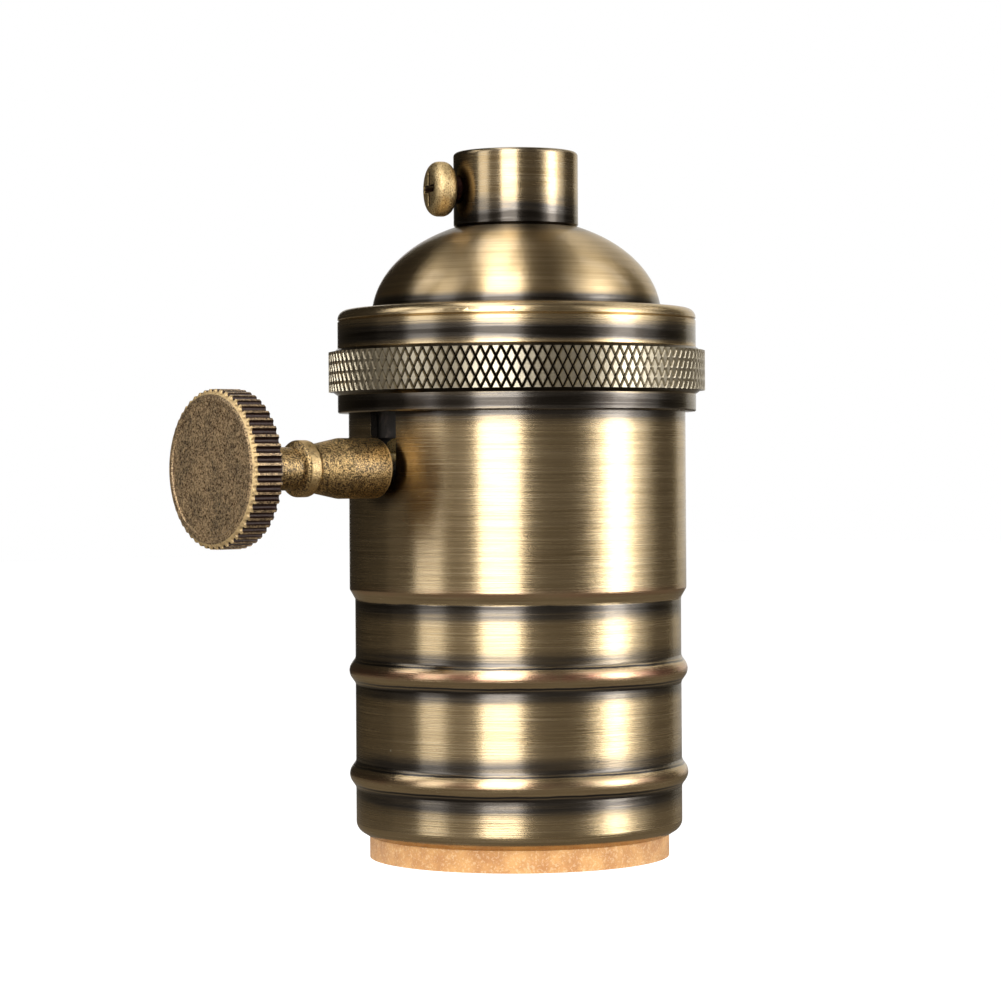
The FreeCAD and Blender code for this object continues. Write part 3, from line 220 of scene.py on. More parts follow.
class Effects:
    """The shared effects that the finishes are mixed from."""

    # turned lines: turns and pitch against the given ones, and detail of the noise
    FINE_LINES = (1.0, 1.0, 3.0)
    BROAD_LINES = (0.8, 7.0, 2.0)
    LINE_RANGE = (0.28, 0.72)
    # share of the radius taken off the level, so that lines part on flat faces too
    SLANT = 0.8
    # grains: noise at which cover is none and how far full cover lowers it, ramps' widths
    BARE_EDGE, COVER_REACH = 0.72, 0.44
    SOFT_RANGE = (0.25, 0.75)
    HARD_RANGE = (-0.03, 0.03)
    # marks: least share of a speck's size, turn and stretch of the hairlines, their share
    LEAST_SPECK = 0.4
    HAIR_TURN, HAIR_SCALE = (0.9, 0.4, 0.6), (1.0, 1.0, 0.16)
    HAIR_WIDTH, HAIR_SHARE = 0.6, 0.7
    TINY = 1e-6

    def __init__(self) -> None:
        """Build every shared group."""
        self.turned = self._turned_lines()
        self.band = self._level_band()
        self.grain = self._grain()
        self.marks = self._fine_marks()
        self.zone = self._ring_zone()

    def _turned_lines(self) -> Effect:
        """Build lines round the Z axis: noise long along the circle, tight along the profile.

        Returns:
            The group, with a fine and a broad mask.
        """
        effect = Effect("turned_lines", {"Place": (0.0, 0.0, 0.0), "Pitch": 0.1, "Turns": 2.0},
                        ["Fine", "Broad"])
        tree, given = effect.tree, effect.given
        part = add(tree, "ShaderNodeSeparateXYZ", {0: given["Place"]}).outputs
        squares = calc(tree, "ADD", times(tree, part["X"], part["X"]),
                       times(tree, part["Y"], part["Y"]))
        radius = calc(tree, "SQRT", calc(tree, "ADD", squares, self.TINY))
        level = less(tree, part["Z"], times(tree, radius, self.SLANT))
        results = []
        for turns, pitch, detail in (self.FINE_LINES, self.BROAD_LINES):
            reach = calc(tree, "DIVIDE", times(tree, given["Turns"], turns), radius)
            spot = add(tree, "ShaderNodeCombineXYZ", {
                "X": times(tree, part["X"], reach),
                "Y": times(tree, part["Y"], reach),
                "Z": calc(tree, "DIVIDE", level, times(tree, given["Pitch"], pitch)),
            }).outputs[0]
            noise = add(tree, "ShaderNodeTexNoise",
                        {"Vector": spot, "Scale": 1.0, "Detail": detail, "Roughness": 0.6})
            results.append(ramp(tree, noise.outputs[0], *self.LINE_RANGE))
        effect.put_out(Fine=results[0], Broad=results[1])
        return effect

    def _level_band(self) -> Effect:
        """Build a mask that is highest at one level and falls to 0 above and below it.

        Returns:
            The group, with one mask.
        """
        effect = Effect("level_band", {"Level": 0.0, "Centre": 0.0, "Above": 1.0, "Below": 1.0,
                                       "Amount": 1.0}, ["Mask"])
        tree, given = effect.tree, effect.given
        away = less(tree, given["Level"], given["Centre"])
        over = calc(tree, "DIVIDE", away, given["Above"])
        under = calc(tree, "DIVIDE", times(tree, away, -1.0), given["Below"])
        near = less(tree, 1.0, calc(tree, "MAXIMUM", over, under), clamp=True)
        soft = ramp(tree, near, 0.0, 1.0)
        effect.put_out(Mask=times(tree, soft, given["Amount"]))
        return effect

    def _grain(self) -> Effect:
        """Build irregular grains: noise of one grain size.

        Returns:
            The group, with a soft and a hard mask.
        """
        effect = Effect("grain", {"Place": (0.0, 0.0, 0.0), "Size": 0.3, "Cover": 0.5},
                        ["Soft", "Hard"])
        tree, given = effect.tree, effect.given
        scale = calc(tree, "DIVIDE", 1.0, given["Size"])
        noise = add(tree, "ShaderNodeTexNoise", {"Vector": given["Place"], "Scale": scale,
                                                 "Detail": 4.0, "Roughness": 0.65}).outputs[0]
        edge = less(tree, self.BARE_EDGE, times(tree, given["Cover"], self.COVER_REACH))
        above = less(tree, noise, edge)
        effect.put_out(Soft=ramp(tree, noise, *self.SOFT_RANGE),
                       Hard=ramp(tree, above, *self.HARD_RANGE))
        return effect

    def _ring_zone(self) -> Effect:
        """Build a mask of 1 between two places along an axis and two distances from it.

        Returns:
            The group, with one mask.
        """
        effect = Effect("ring_zone", {"Along": 0.0, "Out": 0.0, "From": 0.0, "To": 1.0,
                                      "Inner": 0.0, "Outer": 1.0, "Soft": 0.1}, ["Mask"])
        tree, given = effect.tree, effect.given
        gaps = [less(tree, given[high], given[low]) for high, low in
                (("Along", "From"), ("To", "Along"), ("Out", "Inner"), ("Outer", "Out"))]
        least = reduce(lambda first, second: calc(tree, "MINIMUM", first, second), gaps)
        share = calc(tree, "DIVIDE", least, given["Soft"])
        effect.put_out(Mask=ramp(tree, share, -0.5, 0.5))
        return effect

    def _fine_marks(self) -> Effect:
        """Build specks in some Voronoi cells, and hairlines where stretched cells are near.

        Returns:
            The group, with a mask of specks and one of hairlines.
        """
        effect = Effect("fine_marks", {"Place": (0.0, 0.0, 0.0), "Spacing": 3.0, "Size": 0.04,
                                       "Share": 0.3}, ["Specks", "Hairs"])
        tree, given = effect.tree, effect.given
        scale = calc(tree, "DIVIDE", 1.0, given["Spacing"])
        cells = add(tree, "ShaderNodeTexVoronoi", {"Vector": given["Place"], "Scale": scale})
        tint = add(tree, "ShaderNodeSeparateColor", {0: cells.outputs["Color"]}).outputs
        size = times(tree, given["Size"], calc(tree, "ADD", tint[1], self.LEAST_SPECK))
        spot = calc(tree, "LESS_THAN", cells.outputs["Distance"], size)
        chosen = calc(tree, "LESS_THAN", tint[0], given["Share"])
        hairs = add(tree, "ShaderNodeMapping", {"Vector": given["Place"],
                                                "Rotation": self.HAIR_TURN,
                                                "Scale": self.HAIR_SCALE}).outputs[0]
        lines = add(tree, "ShaderNodeTexVoronoi", {"Vector": hairs, "Scale": scale})
        pick = add(tree, "ShaderNodeSeparateColor", {0: lines.outputs["Color"]}).outputs
        thin = calc(tree, "LESS_THAN", lines.outputs["Distance"],
                    times(tree, given["Size"], self.HAIR_WIDTH))
        few = calc(tree, "LESS_THAN", pick[2], times(tree, given["Share"], self.HAIR_SHARE))
        effect.put_out(Specks=times(tree, spot, chosen), Hairs=times(tree, thin, few))
        return effect


class Sheet:
    """One material's node tree with its shader, while a finish fills it in."""

    def __init__(self, name: str, constants: Feeds, effects: Optional[Effects] = None) -> None:
        """Start a material.

        Args:
            name: the material's name.
            constants: shader socket name to a value that is the same everywhere.
            effects: the shared effects, where it places any.
        """
        self.effects = effects
        self.material = bpy.data.materials.new(name)
        self.material.use_nodes = True
        self.tree = self.material.node_tree
        self.tree.nodes.clear()
        self.shader = add(self.tree, "ShaderNodeBsdfPrincipled", constants)
        add(self.tree, "ShaderNodeOutputMaterial", {"Surface": self.shader.outputs[0]})
        where = add(self.tree, "ShaderNodeTexCoord").outputs["Object"]
        self.place = add(self.tree, "ShaderNodeVectorMath", {0: where, "Scale": 1 / MM},
                         operation="SCALE").outputs[0]
        self.part = add(self.tree, "ShaderNodeSeparateXYZ", {0: self.place}).outputs

    def feed(self, **links: Socket) -> None:
        """Link sockets to shader inputs; an underscore in a name stands for a space."""
        for name, socket in links.items():
            self.tree.links.new(socket, self.shader.inputs[name.replace("_", " ")])

    def grain(self, size: float, cover: float = 0.5) -> Outputs:
        """Place grains of a size in mm that cover a share of the surface."""
        return self.effects.grain.place(self.tree, {"Place": self.place, "Size": size,
                                                    "Cover": cover})

    def marks(self, spacing: float, size: float, share: float) -> Outputs:
        """Place specks and hairlines: spacing in mm, size against it, share of places."""
        return self.effects.marks.place(self.tree, {"Place": self.place, "Spacing": spacing,
                                                    "Size": size, "Share": share})

    def bump(self, height: Socket, depth: float) -> None:
        """Feed the shader's normal from a height mask whose full depth is given in mm."""
        made = add(self.tree, "ShaderNodeBump", {"Height": height, "Strength": 1.0,
                                                 "Distance": depth * MM})
        self.feed(Normal=made.outputs[0])

    def radius(self) -> Socket:
        """Return the distance from the Z axis in mm."""
        squares = [times(self.tree, self.part[name], self.part[name])
                   for name in ("X", "Y")]
        return calc(self.tree, "SQRT", calc(self.tree, "ADD", *squares))

    def from_axis(self, axis: Axis, level: float) -> Tuple[Socket, Socket]:
        """Measure from an axis that starts on the holder's own axis.

        Args:
            axis: its unit direction.
            level: its height in mm.

        Returns:
            The distance along the axis and the distance out from it, in mm.
        """
        tree = self.tree
        start = vector(tree, "SUBTRACT", self.place, (0.0, 0.0, level))["Vector"]
        along = vector(tree, "DOT_PRODUCT", start, axis)["Value"]
        square = vector(tree, "DOT_PRODUCT", start, start)["Value"]
        rest = less(tree, square, times(tree, along, along))
        return along, calc(tree, "SQRT", calc(tree, "MAXIMUM", 0.0, rest))

    def ring_tangent(self) -> None:
        """Lay the shader's tangent round the Z axis, along the brushed lines."""
        made = add(self.tree, "ShaderNodeTangent", direction_type="RADIAL", axis="Z")
        self.feed(Tangent=made.outputs[0])


# ---- Finishes -----------------------------------------------------------------------
@dataclass(frozen=True)
class Finish:
    """What every finish has: its name, and how its material is made."""

    name: str

    def constants(self) -> Feeds:
        """Return the shader values that are the same everywhere."""
        return {}

    def fill(self, sheet: Sheet) -> None:
        """Fill the nodes in; each finish has its own way."""
        raise NotImplementedError

    def make(self, effects: Effects) -> Material:
        """Build the material.

        Args:
            effects: the shared effects.

        Returns:
            The material.
        """
        sheet = Sheet(self.name, self.constants(), effects)
        self.fill(sheet)
        return sheet.material


@dataclass(frozen=True)
class Shade:
    """A dark or coloured band at one level of a turned part, lengths in mm."""

    level: float
    above: float
    below: float
    amount: float = 1.0


@dataclass(frozen=True)
class HoleShade:
    """Painted shade round a hole: its axis and level, full and faded radius, in mm."""

    axis: Axis
    level: float
    full: float
    faded: float
    share: float = 0.94


@dataclass(frozen=True)
class Knurl:
    """Radii of a knurl in mm: the seat beside it, its grooves' root and its flat tops."""

    seat: float
    root: float
    top: float
    soft: float = 0.04
    rough: float = 0.14
    share: float = 0.85


@dataclass(frozen=True)
class InnerShade:
    """Painted shade on the inner wall: inside this radius and above this level, in mm."""

    radius: float
    level: float


@dataclass(frozen=True)
class SpunBrass(Finish):
    """Brushed antique brass, turned round the Z axis, with patina and painted shade in its
    corners.
    """

    patina_and_shade: Tuple[Shade, ...]
    copper: Tuple[Shade, ...] = ()
    pale: Colour = rgb(0.60, 0.465, 0.275)
    deep: Colour = rgb(0.33, 0.23, 0.105)
    grey: Colour = rgb(0.105, 0.092, 0.078)
    black: Colour = rgb(0.036, 0.029, 0.022)
    red: Colour = rgb(0.52, 0.25, 0.16)
    ridge: Colour = rgb(0.42, 0.38, 0.29)
    mark: Colour = rgb(0.90, 0.84, 0.70)
    mark_share: float = 0.8
    mark_places: Tuple[float, float, float] = (3.6, 0.028, 0.4)
    line_pitch: float = 0.085
    line_turns: float = 1.1
    fine_share: float = 0.55
    contrast: float = 0.75
    roughness: float = 0.2
    line_roughness: float = 0.08
    relief: float = 0.006
    stretch: float = 0.6
    cloud_size: float = 5.0
    wave: float = 0.12
    streaks: float = 0.5
    copper_base: float = 0.2
    grey_range: Span = (0.0, 0.75)
    black_range: Span = (0.7, 1.0)
    knurl: Optional[Knurl] = None
    inner_shade: Optional[InnerShade] = None
    hole_shade: Optional[HoleShade] = None

    def bands(self, sheet: Sheet, shades: Tuple[Shade, ...], level: Socket) -> Socket:
        """Place a band for each shade.

        Args:
            sheet: the material.
            shades: the bands.
            level: the height of each point in mm.

        Returns:
            The highest of their masks.
        """
        return highest(sheet.tree, [sheet.effects.band.place(sheet.tree, {
            "Level": level, "Centre": shade.level, "Above": shade.above,
            "Below": shade.below, "Amount": shade.amount})["Mask"] for shade in shades])

    def age(self, sheet: Sheet, colour: Socket, broad: Socket) -> Socket:
        """Lay copper tints and then grey to black patina and painted shade over the brass.

        Args:
            sheet: the material.
            colour: the brass so far.
            broad: the mask of broad turned lines, which streak the patina and painted shade.

        Returns:
            The aged colour.
        """
        tree = sheet.tree
        cloud = sheet.grain(self.cloud_size)["Soft"]
        level = raised(tree, less(tree, cloud, 0.5), self.wave, sheet.part["Z"])
        if self.copper:
            worn = times(tree, self.bands(sheet, self.copper, level),
                         calc(tree, "ADD", cloud, self.copper_base, clamp=True))
            colour = blend(tree, worn, colour, self.red)
        mask = self.bands(sheet, self.patina_and_shade, level)
        streak = times(tree, less(tree, broad, 0.5), self.streaks)
        mask = calc(tree, "ADD", mask, times(tree, streak, mask), clamp=True)
        colour = blend(tree, ramp(tree, mask, *self.grey_range), colour, self.grey)
        return blend(tree, ramp(tree, mask, *self.black_range), colour, self.black)

    def wear_knurl(self, sheet: Sheet, colour: Socket, rough: Socket) -> Tuple[Socket, Socket]:
        """Dull the knurl's flat tops and blacken its grooves.

        Args:
            sheet: the material.
            colour: the brass so far.
            rough: its roughness so far.

        Returns:
            The new colour and roughness.
        """
        tree, knurl, out = sheet.tree, self.knurl, sheet.radius()
        ridge = ramp(tree, out, knurl.seat, knurl.top)
        colour = blend(tree, times(tree, ridge, knurl.share), colour, self.ridge)
        groove = times(tree, ramp(tree, out, knurl.seat, knurl.seat + knurl.soft),
                       less(tree, 1.0, ramp(tree, out, knurl.root, knurl.top)))
        rough = calc(tree, "ADD", rough, times(tree, ridge, knurl.rough))
        return blend(tree, groove, colour, self.black), rough

    def blacken(self, sheet: Sheet, colour: Socket) -> Socket:
        """Paint shade in black on the inner wall and round a hole, where there are any.

        Args:
            sheet: the material.
            colour: the brass so far.

        Returns:
            The new colour.
        """
        tree, hole_shade = sheet.tree, self.hole_shade
        if self.inner_shade:
            within = calc(tree, "LESS_THAN", sheet.radius(), self.inner_shade.radius)
            above = calc(tree, "GREATER_THAN", sheet.part["Z"], self.inner_shade.level)
            colour = blend(tree, times(tree, within, above), colour, self.black)
        if hole_shade:
            along, out = sheet.from_axis(hole_shade.axis, hole_shade.level)
            near = less(tree, 1.0, ramp(tree, out, hole_shade.full, hole_shade.faded))
            near = times(tree, near, calc(tree, "GREATER_THAN", along, 0.0))
            colour = blend(tree, times(tree, near, hole_shade.share), colour, self.black)
        return colour

    def constants(self) -> Feeds:
        """Return the shader values that are the same everywhere."""
        return {"Metallic": 1.0, "Anisotropic": self.stretch, "Anisotropic Rotation": 0.25,
                "Specular Tint": rgb(0.75, 0.68, 0.55), "Coat Weight": 0.35,
                "Coat Roughness": 0.16}

    def fill(self, sheet: Sheet) -> None:
        """Fill the nodes in.

        Args:
            sheet: the material.
        """
        tree = sheet.tree
        lines = sheet.effects.turned.place(tree, {
            "Place": sheet.place, "Pitch": self.line_pitch, "Turns": self.line_turns})
        tone = weigh(tree, lines["Fine"], self.fine_share, lines["Broad"], 1 - self.fine_share)
        dark = times(tree, less(tree, 1.0, tone), self.contrast)
        colour = self.age(sheet, blend(tree, dark, self.pale, self.deep), lines["Broad"])
        rough = raised(tree, lines["Fine"], self.line_roughness, self.roughness)
        if self.knurl:
            colour, rough = self.wear_knurl(sheet, colour, rough)
        colour = self.blacken(sheet, colour)
        marks = sheet.marks(*self.mark_places)
        light = calc(tree, "MAXIMUM", marks["Specks"], marks["Hairs"])
        colour = blend(tree, times(tree, light, self.mark_share), colour, self.mark)
        sheet.feed(Base_Color=colour, Roughness=rough)
        sheet.bump(calc(tree, "ADD", lines["Fine"], lines["Broad"]), self.relief)
        sheet.ring_tangent()


@dataclass(frozen=True)
class Zone:
    """Part of a turned piece: from and to along its axis, inner and outer radius, in mm."""

    start: float
    end: float
    inner: float
    outer: float
    soft: float = 0.12


@dataclass(frozen=True)
class CastBronze(Finish):
    """Speckled dark bronze, worn to gold on its edges and black in its hollows: patina in the
    knob's flutes, painted shade in the clamp screw's recess and on its shank.
    """

    axis: Axis
    level: float
    worn: Tuple[Zone, ...] = ()
    hollow_and_shade: Tuple[Zone, ...] = ()
    bare: Tuple[Zone, ...] = ()
    dark: Colour = rgb(0.020, 0.017, 0.015)
    umber: Colour = rgb(0.080, 0.038, 0.018)
    gold: Colour = rgb(0.47, 0.33, 0.18)
    stem_gold: Colour = rgb(0.70, 0.47, 0.20)
    rim: Colour = rgb(0.60, 0.43, 0.21)
    pit_and_shade: Colour = rgb(0.016, 0.005, 0.004)
    fleck: float = 0.17
    fleck_shares: Span = (0.9, 0.25)
    clot: float = 0.55
    clot_reach: Span = (0.5, 0.45)
    cloud: float = 3.0
    cloud_reach: Span = (0.5, 0.75)
    gold_range: Span = (-0.05, 0.95)
    rim_wear: Tuple[float, float, float, float] = (0.0, 0.6, 0.45, 1.0)
    roughness: float = 0.24
    fleck_roughness: float = 0.2
    relief: float = 0.022
    metal: float = 0.65

    def speckle(self, tree: Tree, fine: Outputs, coarse: Socket, broad: Socket) -> Socket:
        """Work out how much gold shows through the dark skin.

        Args:
            tree: the material's node tree.
            fine: the masks of the flecks.
            coarse: the mask of the clots.
            broad: the mask of the clouds.

        Returns:
            The share of gold.
        """
        soft, hard = self.fleck_shares
        speck = weigh(tree, fine["Soft"], soft, fine["Hard"], hard)
        speck = times(tree, speck, raised(tree, coarse, *self.clot_reach))
        speck = times(tree, speck, raised(tree, broad, *self.cloud_reach))
        return ramp(tree, speck, *self.gold_range)

    def constants(self) -> Feeds:
        """Return the shader values that are the same everywhere."""
        return {"Metallic": self.metal, "Specular Tint": rgb(0.7, 0.6, 0.45),
                "Coat Weight": 0.15, "Coat Roughness": 0.22}

    def fill(self, sheet: Sheet) -> None:
        """Fill the nodes in.

        Args:
            sheet: the material.
        """
        tree = sheet.tree
        fine, coarse = sheet.grain(self.fleck), sheet.grain(self.clot)["Soft"]
        broad = sheet.grain(self.cloud)["Soft"]
        along, out = sheet.from_axis(self.axis, self.level)

        def within(zones: Tuple[Zone, ...]) -> Socket:
            """Return the highest of the masks of several zones."""
            return highest(tree, [sheet.effects.zone.place(tree, {
                "Along": along, "Out": out, "From": zone.start, "To": zone.end,
                "Inner": zone.inner, "Outer": zone.outer, "Soft": zone.soft})["Mask"]
                for zone in zones])

        speck = self.speckle(tree, fine, coarse, broad)
        colour = blend(tree, speck, blend(tree, broad, self.dark, self.umber), self.gold)
        if self.bare:
            bare = within(self.bare)
            colour = blend(tree, bare, colour, blend(tree, speck, self.dark, self.stem_gold))
            sheet.feed(Metallic=ramp(tree, bare, 0.0, 1.0, self.metal, 1.0))
        if self.worn:
            worn = times(tree, within(self.worn), ramp(tree, coarse, *self.rim_wear))
            colour = blend(tree, worn, colour, self.rim)
        if self.hollow_and_shade:
            colour = blend(tree, within(self.hollow_and_shade), colour, self.pit_and_shade)
        sheet.feed(Base_Color=colour, Roughness=raised(tree, fine["Soft"], self.fleck_roughness,
                                                       self.roughness))
        sheet.bump(calc(tree, "ADD", fine["Soft"], coarse), self.relief)


@dataclass(frozen=True)
class FibrePaper(Finish):
    """Tan pressed fibre with pale scuffs and faint layers."""

    tan: Colour = rgb(0.68, 0.36, 0.125)
    warm: Colour = rgb(0.46, 0.20, 0.060)
    scuff: Colour = rgb(0.90, 0.74, 0.50)
    cloud: Span = (2.2, 0.4)
    fibre: Span = (0.25, 0.35)
    fibre_share: float = 0.3
    scratches: Tuple[float, float, float] = (2.4, 0.07, 0.6)
    scratch_share: float = 0.8
    relief: float = 0.06

    def constants(self) -> Feeds:
        """Return the shader values that are the same everywhere."""
        return {"Sheen Weight": 0.08}

    def fill(self, sheet: Sheet) -> None:
        """Fill the nodes in.

        Args:
            sheet: the material.
        """
        tree = sheet.tree
        cloud, fibre = sheet.grain(*self.cloud), sheet.grain(*self.fibre)
        hairs = sheet.marks(*self.scratches)["Hairs"]
        colour = blend(tree, cloud["Soft"], self.tan, self.warm)
        for mask, share in ((fibre["Hard"], self.fibre_share), (hairs, self.scratch_share)):
            colour = blend(tree, times(tree, mask, share), colour, self.scuff)
        sheet.feed(Base_Color=colour, Roughness=raised(tree, fibre["Soft"], 0.2, 0.6))
        sheet.bump(calc(tree, "ADD", fibre["Soft"], hairs), self.relief)


@dataclass(frozen=True)
class PlainMetal(Finish):
    """Rolled or plated metal with a light mottle, faint handling marks and soft wear."""

    bright: Colour
    dull: Colour
    roughness: float = 0.22
    mottle: float = 1.6
    fine: Span = (0.12, 0.3)
    scratches: Tuple[float, float, float] = (1.8, 0.05, 0.4)
    scratch_share: float = 0.5
    relief: float = 0.01

    def constants(self) -> Feeds:
        """Return the shader values that are the same everywhere."""
        return {"Metallic": 1.0}

    def fill(self, sheet: Sheet) -> None:
        """Fill the nodes in.

        Args:
            sheet: the material.
        """
        tree = sheet.tree
        cloud, fine = sheet.grain(self.mottle)["Soft"], sheet.grain(*self.fine)["Soft"]
        hairs = sheet.marks(*self.scratches)["Hairs"]
        colour = blend(tree, cloud, self.bright, self.dull)
        colour = blend(tree, times(tree, hairs, self.scratch_share), colour, self.bright)
        sheet.feed(Base_Color=colour, Roughness=raised(tree, fine, 0.15, self.roughness))
        sheet.bump(fine, self.relief)


class Metal(Enum):
    """The plain metals of the small parts."""

    THREAD_BRASS = PlainMetal("thread_brass", rgb(0.50, 0.37, 0.17), rgb(0.22, 0.15, 0.06), 0.3)
    ROLLED_BRASS = PlainMetal("shell_brass_rolled", rgb(0.72, 0.55, 0.26),
                              rgb(0.52, 0.36, 0.14))
    CONTACT_BRASS = PlainMetal("contact_brass", rgb(0.78, 0.62, 0.32), rgb(0.60, 0.44, 0.19),
                               0.18)
    SCREW_BRASS = PlainMetal("screw_brass", rgb(0.80, 0.60, 0.25), rgb(0.55, 0.38, 0.14))
    PLATED_STEEL = PlainMetal("plated_steel", rgb(0.62, 0.60, 0.56), rgb(0.42, 0.40, 0.37))
    SPRING_STEEL = PlainMetal("blue_spring_steel", rgb(0.30, 0.31, 0.34),
                              rgb(0.16, 0.16, 0.18))


@dataclass(frozen=True)
class Phenolic(Finish):
    """Moulded black phenolic with a fine flow mottle."""

    body: Colour = rgb(0.014, 0.012, 0.011)
    flow: Colour = rgb(0.045, 0.034, 0.028)
    swirl: Span = (1.4, 0.35)
    swirl_share: float = 0.7
    fine: Span = (0.2, 0.3)
    relief: float = 0.015

    def fill(self, sheet: Sheet) -> None:
        """Fill the nodes in.

        Args:
            sheet: the material.
        """
        tree = sheet.tree
        swirl, fine = sheet.grain(*self.swirl), sheet.grain(*self.fine)["Soft"]
        colour = blend(tree, times(tree, swirl["Hard"], self.swirl_share), self.body, self.flow)
        sheet.feed(Base_Color=colour, Roughness=raised(tree, swirl["Soft"], 0.2, 0.33))
        sheet.bump(fine, self.relief)


# ---- Mesh helpers -------------------------------------------------------------------
def grid_faces(rows: int, columns: int, closed: bool) -> np.ndarray:
    """Return the quads of a grid of points.

    Args:
        rows: number of points along the first direction.
        columns: number of points along the second.
        closed: whether the last column joins the first.

    Returns:
        An array of four point numbers a face.
    """
    down, across = np.meshgrid(np.arange(rows - 1), np.arange(columns - (not closed)),
                               indexing="ij")
    beside = (across + 1) % columns
    faces = np.stack([down * columns + across, down * columns + beside,
                      (down + 1) * columns + beside, (down + 1) * columns + across], axis=-1)
    return faces.reshape(-1, 4)


def piece(name: str, points: np.ndarray, faces: np.ndarray,
          material: Material) -> bpy.types.Object:
    """Make a smooth mesh object at the origin.

    Args:
        name: its name.
        points: array of points, the last axis X, Y and Z in metres.
        faces: array of point numbers, a row for each face.
        material: its finish.

    Returns:
        The new object.
    """
    mesh = bpy.data.meshes.new(name)
    mesh.from_pydata(points.reshape(-1, 3).tolist(), [], faces.tolist())
    mesh.polygons.foreach_set("use_smooth", np.full(len(mesh.polygons), True))
    mesh.validate()
    mesh.update()
    mesh.materials.append(material)
    made = bpy.data.objects.new(name, mesh)
    bpy.context.scene.collection.objects.link(made)
    return made


def swept_ring(name: str, profile: np.ndarray, steps: int,
               material: Material) -> bpy.types.Object:
    """Make a closed ring: (r cos a, r sin a, z) of a profile carried round the Z axis.

    Args:
        name: the piece's name.
        profile: array (points, steps, 2) of radius and level, closed along its points.
        steps: number of places round the axis.
        material: its finish.

    Returns:
        The new object.
    """
    angle = np.linspace(0.0, 2 * np.pi, steps, endpoint=False)
    radius, level = profile[..., 0], profile[..., 1]
    points = np.stack([radius * np.cos(angle), radius * np.sin(angle), level], axis=-1)
    count = len(profile)
    faces = grid_faces(count + 1, steps, True) % (count * steps)
    return piece(name, points, faces, material)


# ---- Sub-assemblies -----------------------------------------------------------------
def middle(node: str) -> Vector:
    """Return the middle of a CAD node's box in mm."""
    low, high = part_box(node)
    return (Vector(low) + Vector(high)) / 2 / MM


def dress(names: Sequence[str], material: Material) -> Sequence[str]:
    """Give CAD nodes a finish on all their slots.

    Args:
        names: the nodes.
        material: the finish.

    Returns:
        The names, for the log.
    """
    for name in names:
        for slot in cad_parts[name].material_slots:
            slot.material = material
    return names


